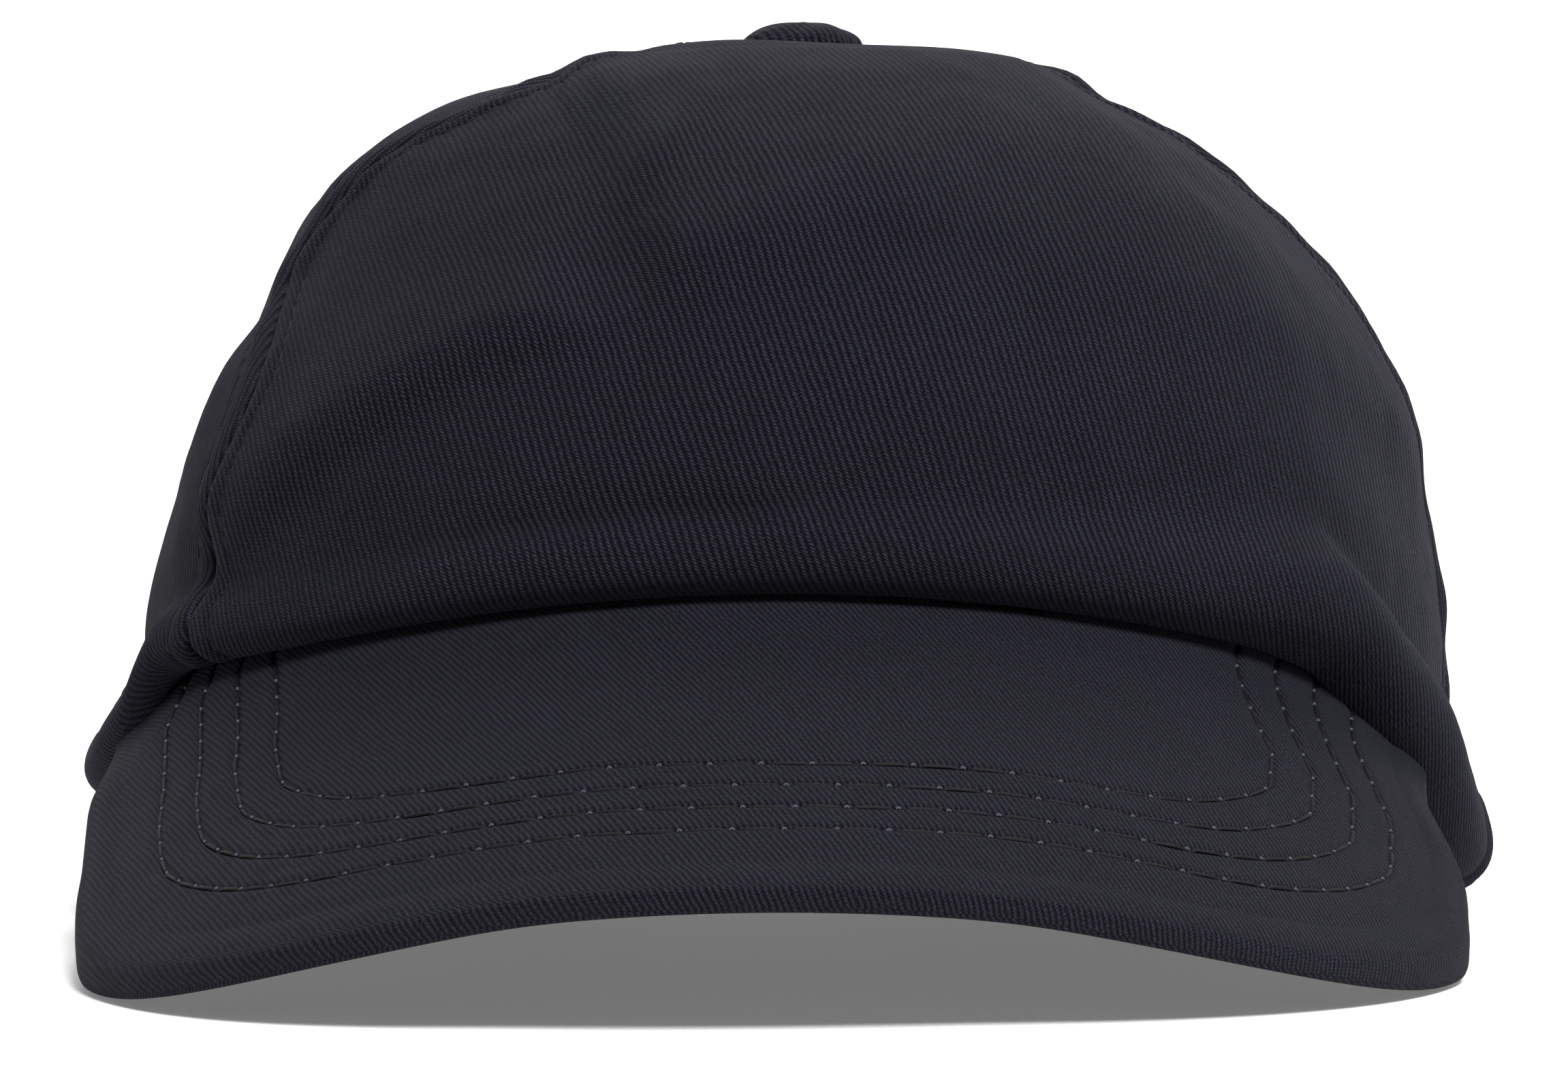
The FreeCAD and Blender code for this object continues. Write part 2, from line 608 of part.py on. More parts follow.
# four rows of lockstitch through the visor, each one thread wide, lying on the top cover
def stitch_row(off):
    left = visor_outline(off, 8, 14, 26)
    right = visor_outline(off + d("stitch_wide"), 8, 14, 26)
    pairs = []
    for (x0, v0), (x1, v1) in zip(left, right):
        p = visor_point(x1, v1)
        if p.y < 0 and (p.x / (A + 0.6)) ** 2 + (p.y / (BF + 0.6)) ** 2 > 1.0:
            pairs.append(((x0, v0), (x1, v1)))
    pairs = [((-a[0], a[1]), (-b[0], b[1])) for a, b in pairs[::-1]] + pairs[1:]
    go, gi = [], []
    for (x0, v0), (x1, v1) in pairs:
        ro, ri = [], []
        for k in range(3):
            x, v = x0 + (x1 - x0) * k / 2.0, v0 + (v1 - v0) * k / 2.0
            ro.append(visor_point(x, v, d("stitch_proud")))
            ri.append(visor_point(x, v, 0.62))
        go.append(ro)
        gi.append(ri)
    return plate(go, gi)


feature("visor_topstitching", Part.makeCompound([stitch_row(d("stitch_first") + k * d("stitch_step")) for k in range(4)]))


# ------------------------------------------------------------------ top button: turned parts
def turned(label, pts):
    """PartDesign body: a closed profile in the XZ plane turned about Z. Radii bound to the sheet are given as ('x', alias expression)."""
    body = doc.addObject("PartDesign::Body", label + "_body")
    sk = body.newObject("Sketcher::SketchObject", label + "_profile")
    xz = [f for f in body.Origin.OriginFeatures if f.Role == "XZ_Plane"][0]
    sk.AttachmentSupport = [(xz, "")]
    sk.MapMode = "FlatFace"
    n = len(pts)
    for i in range(n):
        (x0, z0), (x1, z1) = pts[i][:2], pts[(i + 1) % n][:2]
        sk.addGeometry(Part.LineSegment(V(x0, z0, 0), V(x1, z1, 0)), False)
    for i in range(n):
        sk.addConstraint(Sketcher.Constraint("Coincident", i, 2, (i + 1) % n, 1))
    for i in range(n):
        x, z = pts[i][:2]
        ex = pts[i][2] if len(pts[i]) > 2 else None
        if abs(x) < 1e-9:
            sk.addConstraint(Sketcher.Constraint("PointOnObject", i, 1, -2))
        else:
            c = sk.addConstraint(Sketcher.Constraint("DistanceX", -1, 1, i, 1, x))
            if ex:
                sk.setExpression("Constraints[%d]" % c, ex)
        c = sk.addConstraint(Sketcher.Constraint("DistanceY", -1, 1, i, 1, z))
    rev = body.newObject("PartDesign::Revolution", label + "_turn")
    rev.Profile = sk
    rev.ReferenceAxis = (sk, ["V_Axis"])
    rev.Angle = 360.0
    body.Tip = rev
    doc.recompute()
    return keep(body, label)


BRAD, BTOP, BBASE = d("button_radius"), d("button_top"), d("button_base")


def dome_profile(radius, z_top, z_low, n=9):
    """Points of a flattened dome from its top to its edge."""
    pts = [(0.0, z_top)]
    for i in range(1, n + 1):
        t = math.pi / 2 * i / n
        pts.append((radius * math.sin(t), z_low + (z_top - z_low) * max(math.cos(t), 0.0) ** 0.8))
    return pts


# cloth cover over the shell, turned in under its edge
cover = dome_profile(BRAD, BTOP, BBASE + 0.5)
cover[-1] = (BRAD, BBASE + 0.5, "Dims.button_radius")
cover += [(BRAD - 0.15, BBASE), (BRAD - 2.2, BBASE), (BRAD - 2.2, BBASE + 0.5), (BRAD - 0.75, BBASE + 0.5)]
cover += [p for p in dome_profile(BRAD - 0.7, BTOP - 0.6, BBASE + 0.6)[::-1] if p[1] > BBASE + 0.61]
turned("button_cover", cover)
shell_pts = dome_profile(BRAD - 0.76, BTOP - 0.66, BBASE + 0.66)
shell_pts[-1] = (BRAD - 0.76, BBASE + 0.66, "Dims.button_radius - 0.76")
shell_pts += [p for p in dome_profile(BRAD - 1.3, BTOP - 1.2, BBASE + 0.66)[::-1]]
turned("button_shell", shell_pts)
# stud: plate inside the shell, shank through the crown, flared foot under the washer
zi = H - CLOTH
stud = [(0.0, BBASE + 1.5), (BRAD - 2.4, BBASE + 1.5), (BRAD - 2.4, BBASE + 0.75), (d("stud_radius"), BBASE + 0.75, "Dims.stud_radius"),
        (d("stud_radius"), zi - 1.25, "Dims.stud_radius"), (2.6, zi - 1.25), (2.6, zi - 1.7), (0.0, zi - 1.7)]
turned("button_stud", stud)
wash = [(d("stud_radius") + 0.1, zi - 0.35), (d("washer_radius"), zi - 0.35, "Dims.washer_radius"), (d("washer_radius"), zi - 0.35 - d("washer_thick"), "Dims.washer_radius"),
        (d("stud_radius") + 0.1, zi - 0.35 - d("washer_thick"))]
turned("button_washer", wash)

# ------------------------------------------------------------------ check and write
doc.recompute()
bad = []
for obj in doc.Objects:
    if "Invalid" in obj.State or "Error" in obj.State:
        bad.append((obj.Label, obj.State))
for obj in parts:
    s = obj.Shape
    if s.isNull() or not s.isValid() or not s.Solids or s.Volume <= 0:
        bad.append((obj.Label, "null" if s.isNull() else ("valid %s solids %d volume %.2f" % (s.isValid(), len(s.Solids), s.Volume))))
for line in bad:
    print("PROBLEM", line)
if bad:
    raise SystemExit("some objects failed")
os.makedirs("parts", exist_ok=True)
for obj in parts:
    obj.Shape.exportStep(os.path.join("parts", obj.Label + ".step"))
    b = obj.Shape.BoundBox
    print("%-24s solids %d  vol %9.1f  x %.1f %.1f y %.1f %.1f z %.1f %.1f" % (obj.Label, len(obj.Shape.Solids), obj.Shape.Volume, b.XMin, b.XMax, b.YMin, b.YMax, b.ZMin, b.ZMax))
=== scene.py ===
import math

import bpy
import bmesh
import numpy as np
from mathutils import Matrix, Vector


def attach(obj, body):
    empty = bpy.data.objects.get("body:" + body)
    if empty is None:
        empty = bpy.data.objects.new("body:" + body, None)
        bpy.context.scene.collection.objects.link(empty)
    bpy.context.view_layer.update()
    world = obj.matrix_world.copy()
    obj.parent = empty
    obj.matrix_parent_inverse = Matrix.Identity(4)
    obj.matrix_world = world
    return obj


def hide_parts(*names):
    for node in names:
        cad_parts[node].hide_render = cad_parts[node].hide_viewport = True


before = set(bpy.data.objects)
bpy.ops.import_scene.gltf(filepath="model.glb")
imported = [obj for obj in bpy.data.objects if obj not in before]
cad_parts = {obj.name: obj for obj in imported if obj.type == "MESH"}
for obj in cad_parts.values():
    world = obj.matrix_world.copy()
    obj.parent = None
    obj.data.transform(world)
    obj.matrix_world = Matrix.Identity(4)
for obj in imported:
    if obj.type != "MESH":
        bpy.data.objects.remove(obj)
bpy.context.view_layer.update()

MM = 0.001
rng = np.random.default_rng(20)

# ---------------------------------------------------------------------------------------------
# small helpers
# ---------------------------------------------------------------------------------------------


def smooth(x, a, b):
    t = np.clip((np.asarray(x, float) - a) / (b - a), 0.0, 1.0)
    return t * t * (3 - 2 * t)


def table(x, pts):
    """Smooth interpolation through (x, y) pairs, flat outside them."""
    xs = np.array([p[0] for p in pts], float)
    ys = np.array([p[1] for p in pts], float)
    x = np.clip(np.asarray(x, float), xs[0], xs[-1])
    h = np.diff(xs)
    dl = np.diff(ys) / h
    m = np.zeros(len(xs))
    m[1:-1] = np.where(dl[:-1] * dl[1:] > 0, 2 * dl[:-1] * dl[1:] / (dl[:-1] + dl[1:] + 1e-12), 0.0)
    k = np.clip(np.searchsorted(xs, x, side="right") - 1, 0, len(xs) - 2)
    t = (x - xs[k]) / h[k]
    return ((2 * t ** 3 - 3 * t ** 2 + 1) * ys[k] + (t ** 3 - 2 * t ** 2 + t) * h[k] * m[k]
            + (-2 * t ** 3 + 3 * t ** 2) * ys[k + 1] + (t ** 3 - t ** 2) * h[k] * m[k + 1])


_waves = []
for _k in range(40):
    _v = rng.normal(size=3)
    _v /= np.linalg.norm(_v)
    _waves.append((_v, rng.uniform(0, 2 * math.pi), rng.uniform(0.75, 1.35)))


def ripple(p, size, seed=0, n=10):
    """Smooth wandering value of about -1 to 1 whose bumps are about size mm across."""
    out = np.zeros(p.shape[:-1])
    for k in range(n):
        v, ph, f = _waves[(seed * 7 + k) % len(_waves)]
        out += np.sin((p @ v) * (math.pi * f / size) + ph + seed * 1.7)
    return out / math.sqrt(n / 2.0) / 1.6


def build(name, verts, faces, uv=None, mats=(), slot=None, body="cap", sharp=40.0, face_mat=None, weld=None):
    """Mesh object from points in mm; uv is one pair per vertex, in mm along the cloth."""
    me = bpy.data.meshes.new(name)
    verts = np.asarray(verts, float)
    me.from_pydata((verts * MM).tolist(), [], faces if isinstance(faces, list) else faces.tolist())
    me.update()
    if uv is not None:
        layer = me.uv_layers.new(name="Cloth")
        idx = np.zeros(len(me.loops), np.int32)
        me.loops.foreach_get("vertex_index", idx)
        layer.data.foreach_set("uv", (np.asarray(uv, float)[idx]).astype(np.float32).ravel())
    if face_mat is not None:
        me.polygons.foreach_set("material_index", np.asarray(face_mat, np.int32))
    if weld:
        bm = bmesh.new()
        bm.from_mesh(me)
        bmesh.ops.remove_doubles(bm, verts=bm.verts, dist=weld * MM)
        bmesh.ops.dissolve_degenerate(bm, edges=bm.edges, dist=weld * 0.5 * MM)
        bm.to_mesh(me)
        bm.free()
    me.shade_smooth()
    me.set_sharp_from_angle(angle=math.radians(sharp))
    ob = bpy.data.objects.new(name, me)
    bpy.context.scene.collection.objects.link(ob)
    for m in mats:
        me.materials.append(m)
    if body:
        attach(ob, body)
    return ob


def quads(nu, nv, base=0, wrap_u=False, wrap_v=False):
    iu = np.arange(nu if wrap_u else nu - 1)
    iv = np.arange(nv if wrap_v else nv - 1)
    i, j = np.meshgrid(iu, iv, indexing="ij")
    a = base + i * nv + j
    b = base + ((i + 1) % nu) * nv + j
    c = base + ((i + 1) % nu) * nv + (j + 1) % nv
    e = base + i * nv + (j + 1) % nv
    return np.stack([a, b, c, e], -1).reshape(-1, 4)


def slab(outer, inner, uv):
    """Closed shell between two grids (nu, nv, 3): its points, quads and uvs."""
    nu, nv = outer.shape[:2]
    n = nu * nv
    vo, vi = outer.reshape(-1, 3), inner.reshape(-1, 3)
    f = [quads(nu, nv), quads(nu, nv, n)[:, ::-1]]
    ids = np.arange(n).reshape(nu, nv)
    for line, turn in ((ids[0, :], 1), (ids[-1, :], -1), (ids[:, 0], -1), (ids[:, -1], 1)):
        q = np.stack([line[:-1], line[1:], line[1:] + n, line[:-1] + n], -1)
        f.append(q[:, ::turn])
    verts = np.concatenate([vo, vi])
    faces = np.concatenate(f)
    tri = verts[faces[:, [0, 1, 2]]], verts[faces[:, [0, 2, 3]]]
    vol = sum(np.einsum("ij,ij->i", t[:, 0], np.cross(t[:, 1], t[:, 2])).sum() for t in tri)
    if vol < 0:
        faces = faces[:, ::-1]
    return verts, faces, np.concatenate([uv.reshape(-1, 2)] * 2)


def tube_ring(path, r, sides=8, closed=False, flat=1.0, normals=None, taper=None):
    """Swept tube along points (n, 3); returns points, quads and uv (along, around)."""
    path = np.asarray(path, float)
    n = len(path)
    if closed:
        t = np.roll(path, -1, 0) - np.roll(path, 1, 0)
    else:
        t = np.gradient(path, axis=0)
    t /= np.linalg.norm(t, axis=1, keepdims=True) + 1e-12
    if normals is None:
        ref = np.array([0.0, 0.0, 1.0])
        normals = ref - t * (t @ ref)[:, None]
    nn = normals - t * np.einsum("ij,ij->i", normals, t)[:, None]
    nn /= np.linalg.norm(nn, axis=1, keepdims=True) + 1e-12
    bb = np.cross(t, nn)
    a = np.linspace(0, 2 * math.pi, sides, endpoint=False)
    rr = np.full(n, r) if taper is None else r * taper
    P = path[:, None] + rr[:, None, None] * (np.cos(a)[None, :, None] * bb[:, None] + flat * np.sin(a)[None, :, None] * nn[:, None])
    s = np.concatenate([[0], np.cumsum(np.linalg.norm(np.diff(path, axis=0), axis=1))])
    uv = np.stack(np.broadcast_arrays(s[:, None], (a * r)[None, :]), -1)
    f = quads(n, sides, wrap_u=closed, wrap_v=True)
    verts = P.reshape(-1, 3)
    faces = f.tolist()
    if not closed:
        faces += [list(range(sides))[::-1], list(range((n - 1) * sides, n * sides))]
    return verts, faces, uv.reshape(-1, 2)


class Bunch:
    """Collects many small closed pieces into one mesh."""

    def __init__(self):
        self.v, self.f, self.u, self.n = [], [], [], 0

    def add(self, verts, faces, uv):
        self.v.append(np.asarray(verts))
        self.u.append(np.asarray(uv))
        self.f += [[int(i) + self.n for i in q] for q in faces]
        self.n += len(verts)

    def object(self, name, **kw):
        return build(name, np.concatenate(self.v), self.f, np.concatenate(self.u), **kw)


def along(path, *fields):
    """Arc length of a path and a function that reads the path (and fields) at any lengths."""
    s = np.concatenate([[0], np.cumsum(np.linalg.norm(np.diff(path, axis=0), axis=1))])

    def read(x):
        return [np.stack([np.interp(x, s, g[:, k]) for k in range(g.shape[1])], -1) for g in (path,) + fields]
    return s[-1], read


def stitches(bunch, path, normals, pitch=2.9, fill=0.84, r=0.2, lift=0.05, sink=0.28, start=0.0, jitter=0.05):
    """Lockstitch: separate thread lengths that dive into the cloth at each needle hole."""
    total, read = along(np.asarray(path, float), np.asarray(normals, float))
    count = int((total - start) / pitch)
    prof = np.array([0.0, 0.07, 0.2, 0.5, 0.8, 0.93, 1.0])
    up = np.array([-sink, -0.25 * sink, lift * 0.8, lift, lift * 0.8, -0.25 * sink, -sink])
    thick = np.array([0.55, 0.9, 1.0, 1.04, 1.0, 0.9, 0.55])
    for k in range(count):
        j = jitter * rng.uniform(-1, 1)
        x0 = start + (k + j) * pitch
        x = x0 + prof * pitch * fill
        P, N = read(np.clip(x, 0, total))
        N = N / (np.linalg.norm(N, axis=1, keepdims=True) + 1e-9)
        side = np.cross(np.gradient(P, axis=0), N)
        side /= np.linalg.norm(side, axis=1, keepdims=True) + 1e-9
        P = P + N * up[:, None] + side * (0.07 * rng.uniform(-1, 1))
        bunch.add(*tube_ring(P, r, 6, normals=N, flat=0.85, taper=thick))


# ---------------------------------------------------------------------------------------------
# materials
# ---------------------------------------------------------------------------------------------


class Nodes:
    def __init__(self, name):
        self.mat = bpy.data.materials.new(name)
        self.mat.use_nodes = True
        self.nt = self.mat.node_tree
        self.bsdf = self.nt.nodes["Principled BSDF"]

    def new(self, kind, **props):
        n = self.nt.nodes.new(kind)
        for k, v in props.items():
            setattr(n, k, v)
        return n

    def link(self, a, b):
        self.nt.links.new(a, b)

    def math(self, op, a, b=None, c=None, clamp=False):
        n = self.new("ShaderNodeMath", operation=op, use_clamp=clamp)
        for i, x in enumerate((a, b, c)):
            if x is None:
                continue
            if isinstance(x, (int, float)):
                n.inputs[i].default_value = x
            else:
                self.link(x, n.inputs[i])
        return n.outputs[0]

    def noise(self, vec, scale, detail=2.0, rough=0.5, dist=0.0):
        n = self.new("ShaderNodeTexNoise")
        n.inputs["Scale"].default_value = scale
        n.inputs["Detail"].default_value = detail
        n.inputs["Roughness"].default_value = rough
        n.inputs["Distortion"].default_value = dist
        self.link(vec, n.inputs["Vector"])
        return n.outputs["Fac"]

    def ramp(self, fac, stops, interp="LINEAR"):
        n = self.new("ShaderNodeValToRGB")
        el = n.color_ramp.elements
        n.color_ramp.interpolation = interp
        while len(el) > 1:
            el.remove(el[-1])
        el[0].position, el[0].color = stops[0][0], (*stops[0][1], 1)
        for pos, col in stops[1:]:
            e = el.new(pos)
            e.color = (*col, 1)
        self.link(fac, n.inputs["Fac"])
        return n.outputs["Color"]

    def mix(self, kind, fac, a, b):
        n = self.new("ShaderNodeMix", data_type="RGBA", blend_type=kind)
        for sock, x in ((n.inputs[0], fac), (n.inputs[6], a), (n.inputs[7], b)):
            if isinstance(x, (int, float)):
                sock.default_value = x
            elif isinstance(x, tuple):
                sock.default_value = (*x, 1)
            else:
                self.link(x, sock)
        return n.outputs[2]


def twill(name, angle, pitch=0.86, base=(0.0066, 0.0065, 0.0117), contrast=1.0, bump=1.0, lint=1.0, fade=1.0, sheen=0.02):
    """Cotton twill in millimetres of the Cloth map: ribs at an angle, each rib made of short slanted yarn floats."""
    g = Nodes(name)
    uv = g.new("ShaderNodeUVMap", uv_map="Cloth").outputs["UV"]
    # the weave wanders a little, as real cloth does
    warp = g.noise(uv, 0.045, 2.0)
    warp2 = g.noise(uv, 0.5, 2.0)
    rot = g.new("ShaderNodeVectorRotate", rotation_type="Z_AXIS")
    rot.inputs["Angle"].default_value = math.radians(angle)
    g.link(uv, rot.inputs["Vector"])
    sep = g.new("ShaderNodeSeparateXYZ")
    g.link(rot.outputs[0], sep.inputs[0])
    across, down = sep.outputs["X"], sep.outputs["Y"]
    p = g.math("ADD", across, g.math("MULTIPLY", g.math("SUBTRACT", warp, 0.5), 1.1))
    p = g.math("ADD", p, g.math("MULTIPLY", g.math("SUBTRACT", warp2, 0.5), 0.34))
    rib_phase = g.math("MULTIPLY", p, 2 * math.pi / pitch)
    rib = g.math("MULTIPLY_ADD", g.math("SINE", rib_phase), 0.5, 0.5)
    rib = g.math("POWER", rib, 0.75)
    # floats: each rib is broken into short slanted lengths of yarn
    q = g.math("MULTIPLY_ADD", across, 0.9, down)
    q = g.math("ADD", q, g.math("MULTIPLY", warp2, 0.5))
    flt = g.math("MULTIPLY_ADD", g.math("SINE", g.math("MULTIPLY", q, 2 * math.pi / (pitch * 0.52))), 0.5, 0.5)
    flt = g.math("POWER", flt, 0.6)
    # weft shows as a cross thread in the grooves
    weft = g.math("MULTIPLY_ADD", g.math("SINE", g.math("MULTIPLY", g.math("MULTIPLY_ADD", down, 0.8, g.math("MULTIPLY", across, -0.5)), 2 * math.pi / (pitch * 0.47))), 0.5, 0.5)
    yarn = g.noise(uv, 3.2, 3.0, 0.65)
    fuzz = g.noise(uv, 9.0, 2.0, 0.6)
    height = g.math("MULTIPLY", rib, g.math("MULTIPLY_ADD", flt, 0.55, 0.45))
    height = g.math("ADD", height, g.math("MULTIPLY", weft, g.math("MULTIPLY", g.math("SUBTRACT", 1.0, rib), 0.28)))
    height = g.math("ADD", height, g.math("MULTIPLY", g.math("SUBTRACT", yarn, 0.5), 0.85))
    # the colour follows the weave's height: painted shade in the grooves and painted highlight on the crests, over the
    # yarn's own tone and fuzz
    tone = g.math("ADD", g.math("MULTIPLY", height, 0.62 * contrast), g.math("MULTIPLY", fuzz, 0.30))
    tone = g.math("ADD", tone, g.math("MULTIPLY", g.math("SUBTRACT", yarn, 0.5), 0.55))
    b = np.array(base)
    col = g.ramp(tone, [(0.16, tuple(b * 0.03)), (0.36, tuple(b * 0.26)), (0.54, tuple(b * 1.05)), (0.74, tuple(b * 2.7)), (1.0, tuple(b * 4.8))])
    # washed-out areas and rubbed crests
    cloud = g.noise(uv, 0.028, 3.0, 0.6)
    col = g.mix("MULTIPLY", 1.0, col, g.ramp(cloud, [(0.25, (1 - 0.14 * fade,) * 3), (0.75, (1 + 0.10 * fade, 1 + 0.10 * fade, 1 + 0.08 * fade))]))
    blot = g.noise(uv, 0.33, 3.0, 0.7)
    col = g.mix("MULTIPLY", 1.0, col, g.ramp(blot, [(0.3, (0.88,) * 3), (0.7, (1.12,) * 3)]))
    # lint and broken yarn ends: sparse pale specks
    speck = g.noise(uv, 2.3, 4.0, 0.8)
    fleck = g.ramp(speck, [(0.705, (0, 0, 0)), (0.76, (1, 1, 1))])
    col = g.mix("MIX", g.math("MULTIPLY", fleck, 0.30 * lint), col, (0.16, 0.17, 0.22))
    g.link(col, g.bsdf.inputs["Base Color"])
    rough = g.math("MULTIPLY_ADD", yarn, 0.16, 0.76)
    g.link(rough, g.bsdf.inputs["Roughness"])
    bp = g.new("ShaderNodeBump")
    bp.inputs["Strength"].default_value = 0.95 * bump
    bp.inputs["Distance"].default_value = 0.00034
    g.link(height, bp.inputs["Height"])
    bp2 = g.new("ShaderNodeBump")
    bp2.inputs["Strength"].default_value = 0.35 * bump
    bp2.inputs["Distance"].default_value = 0.00012
    g.link(fuzz, bp2.inputs["Height"])
    g.link(bp.outputs["Normal"], bp2.inputs["Normal"])
    g.link(bp2.outputs["Normal"], g.bsdf.inputs["Normal"])
    g.bsdf.inputs["Specular IOR Level"].default_value = 0.07
    g.bsdf.inputs["Sheen Weight"].default_value = sheen
    g.bsdf.inputs["Sheen Roughness"].default_value = 0.45
    g.bsdf.inputs["Sheen Tint"].default_value = (0.62, 0.66, 0.85, 1)
    return g.mat


def thread(name, base, twist=0.42, sheen=0.15, rough=0.62):
    """Twisted sewing thread: slanted plies along the Cloth map."""
    g = Nodes(name)
    uv = g.new("ShaderNodeUVMap", uv_map="Cloth").outputs["UV"]
    sep = g.new("ShaderNodeSeparateXYZ")
    g.link(uv, sep.inputs[0])
    ph = g.math("MULTIPLY", g.math("ADD", sep.outputs["X"], g.math("MULTIPLY", sep.outputs["Y"], 0.9)), 2 * math.pi / twist)
    ply = g.math("MULTIPLY_ADD", g.math("SINE", ph), 0.5, 0.5)
    n = g.noise(uv, 4.0, 3.0)
    b = np.array(base)
    tone = g.math("ADD", g.math("MULTIPLY", ply, 0.7), g.math("MULTIPLY", n, 0.3))
    g.link(g.ramp(tone, [(0.1, tuple(b * 0.4)), (0.6, tuple(b)), (1.0, tuple(b * 1.7))]), g.bsdf.inputs["Base Color"])
    g.link(g.math("MULTIPLY_ADD", n, 0.2, rough - 0.1), g.bsdf.inputs["Roughness"])
    bp = g.new("ShaderNodeBump")
    bp.inputs["Strength"].default_value = 0.6
    bp.inputs["Distance"].default_value = 0.0001
    g.link(ply, bp.inputs["Height"])
    g.link(bp.outputs["Normal"], g.bsdf.inputs["Normal"])
    g.bsdf.inputs["Specular IOR Level"].default_value = 0.15
    g.bsdf.inputs["Sheen Weight"].default_value = sheen
    g.bsdf.inputs["Sheen Roughness"].default_value = 0.4
    return g.mat


def metal(name, base, rough=0.34, brush=90.0, wear=(0.75, 0.66, 0.48), dark=0.35):
    """Plated metal: fine brushing, tarnish in the hollows and rubbed edges, in object coordinates."""
    g = Nodes(name)
    co = g.new("ShaderNodeTexCoord").outputs["Object"]
    mp = g.new("ShaderNodeMapping")
    mp.inputs["Scale"].default_value = (brush * 4, brush * 4, brush * 90)
    g.link(co, mp.inputs["Vector"])
    streak = g.noise(mp.outputs[0], 1.0, 3.0, 0.6)
    mp2 = g.new("ShaderNodeMapping")
    mp2.inputs["Scale"].default_value = (260.0, 260.0, 260.0)
    g.link(co, mp2.inputs["Vector"])
    blot = g.noise(mp2.outputs[0], 1.0, 4.0, 0.6)
    b = np.array(base)
    col = g.ramp(blot, [(0.3, tuple(b * (1 - dark))), (0.55, tuple(b)), (0.8, tuple(np.minimum(b * 1.25, 1)))])
    geo = g.new("ShaderNodeNewGeometry")
    edge = g.ramp(geo.outputs["Pointiness"], [(0.50, (0, 0, 0)), (0.58, (1, 1, 1))])
    col = g.mix("MIX", g.math("MULTIPLY", edge, 0.35), col, wear)
    g.link(col, g.bsdf.inputs["Base Color"])
    g.bsdf.inputs["Metallic"].default_value = 1.0
    g.link(g.math("MULTIPLY_ADD", streak, 0.22, rough - 0.1), g.bsdf.inputs["Roughness"])
    bp = g.new("ShaderNodeBump")
    bp.inputs["Strength"].default_value = 0.25
    bp.inputs["Distance"].default_value = 0.00004
    g.link(streak, bp.inputs["Height"])
    g.link(bp.outputs["Normal"], g.bsdf.inputs["Normal"])
    return g.mat


def plastic(name, base):
    g = Nodes(name)
    co = g.new("ShaderNodeTexCoord").outputs["Object"]
    mp = g.new("ShaderNodeMapping")
    mp.inputs["Scale"].default_value = (900.0, 900.0, 900.0)
    g.link(co, mp.inputs["Vector"])
    n = g.noise(mp.outputs[0], 1.0, 3.0)
    b = np.array(base)
    g.link(g.ramp(n, [(0.3, tuple(b * 0.85)), (0.7, tuple(b * 1.15))]), g.bsdf.inputs["Base Color"])
    g.link(g.math("MULTIPLY_ADD", n, 0.15, 0.45), g.bsdf.inputs["Roughness"])
    return g.mat


m_front = twill("crown_front_twill", -17)
m_side_l = twill("crown_side_twill_left", -22)
m_side_r = twill("crown_side_twill_right", -14)
m_back = twill("crown_back_twill", -18)
m_visor = twill("visor_twill", 22, pitch=0.70)
m_under = twill("visor_under_twill", -22, pitch=0.70, contrast=0.9)
m_inside = twill("crown_inside_twill", 20, base=(0.0125, 0.0125, 0.020), contrast=0.7, bump=0.7, lint=0.6)
m_band = twill("sweatband_twill", -38, pitch=0.8, base=(0.013, 0.013, 0.0205), contrast=0.75, lint=0.5)
m_strap = twill("strap_twill", 35)
m_bind = twill("binding_twill", 45, pitch=0.8)
m_button = twill("button_twill", -30)
m_tape = twill("seam_tape_weave", 0, pitch=0.7, base=(0.014, 0.0142, 0.022), contrast=0.8, lint=0.4)
# navy thread for the visor rows, darker than the cloth: partly its own colour, partly painted shade of the trough it
# lies in
m_thread = thread("sewing_thread_navy", (0.0022, 0.0022, 0.0040), sheen=0.0)
m_thread_top = thread("topstitch_thread", (0.0040, 0.0040, 0.0070), sheen=0.0)
# pale colour of the pieces at the visor's needle holes: painted highlight of the cloth bulging between stitches
m_hole_highlight = thread("stitch_hole_painted_highlight", (0.040, 0.041, 0.058), twist=0.3)
m_eyelet = thread("eyelet_thread", (0.012, 0.012, 0.020), twist=0.5, sheen=0.05, rough=0.5)
m_brass = metal("antique_brass", (0.17, 0.125, 0.066), rough=0.4, wear=(0.42, 0.32, 0.18))
m_steel = metal("plated_steel", (0.52, 0.52, 0.53), rough=0.3, wear=(0.8, 0.8, 0.8), dark=0.15)
m_board = plastic("board_plastic", (0.10, 0.10, 0.11))

# ---------------------------------------------------------------------------------------------
# crown surface.  phi: 0 is the front (-Y), positive towards +X.  a: 0 at the rim, pi/2 at the apex,
# and -1 to 0 runs from the sewn edge round the rolled rim.  All in millimetres.
# ---------------------------------------------------------------------------------------------
A, BF, BB, H, N0 = 92.5, 88.5, 92.5, 112.5, 2.25
E0 = 2.0 / N0
RB, PITCH, VY, VZ = 118.0, math.radians(21.0), -96.0, 40.87
CB, SB = math.cos(PITCH), math.sin(PITCH)


def wrap(phi):
    return (phi + math.pi) % (2 * math.pi) - math.pi


def plan_radius(phi):
    c, s = np.cos(phi), np.sin(phi)
    return 1.0 / np.sqrt((s / A) ** 2 + (c / np.where(c > 0, BF, BB)) ** 2)


def droop(x, y):
    """How far the visor's rear corners are pressed down under the slumped crown."""
    r = 5.0 * smooth(x, 52, 84) * smooth(y, -80, -46)
    l = 3.2 * smooth(-x, 60, 86) * smooth(y, -58, -30)
    return r + l


def visor_z(x, y, up=0.0):
    n = -RB + np.sqrt(np.maximum((RB + up) ** 2 - x * x, 1.0))
    fwd = (VY - y - n * SB) / CB
    return VZ - fwd * SB + n * CB - droop(x, y)


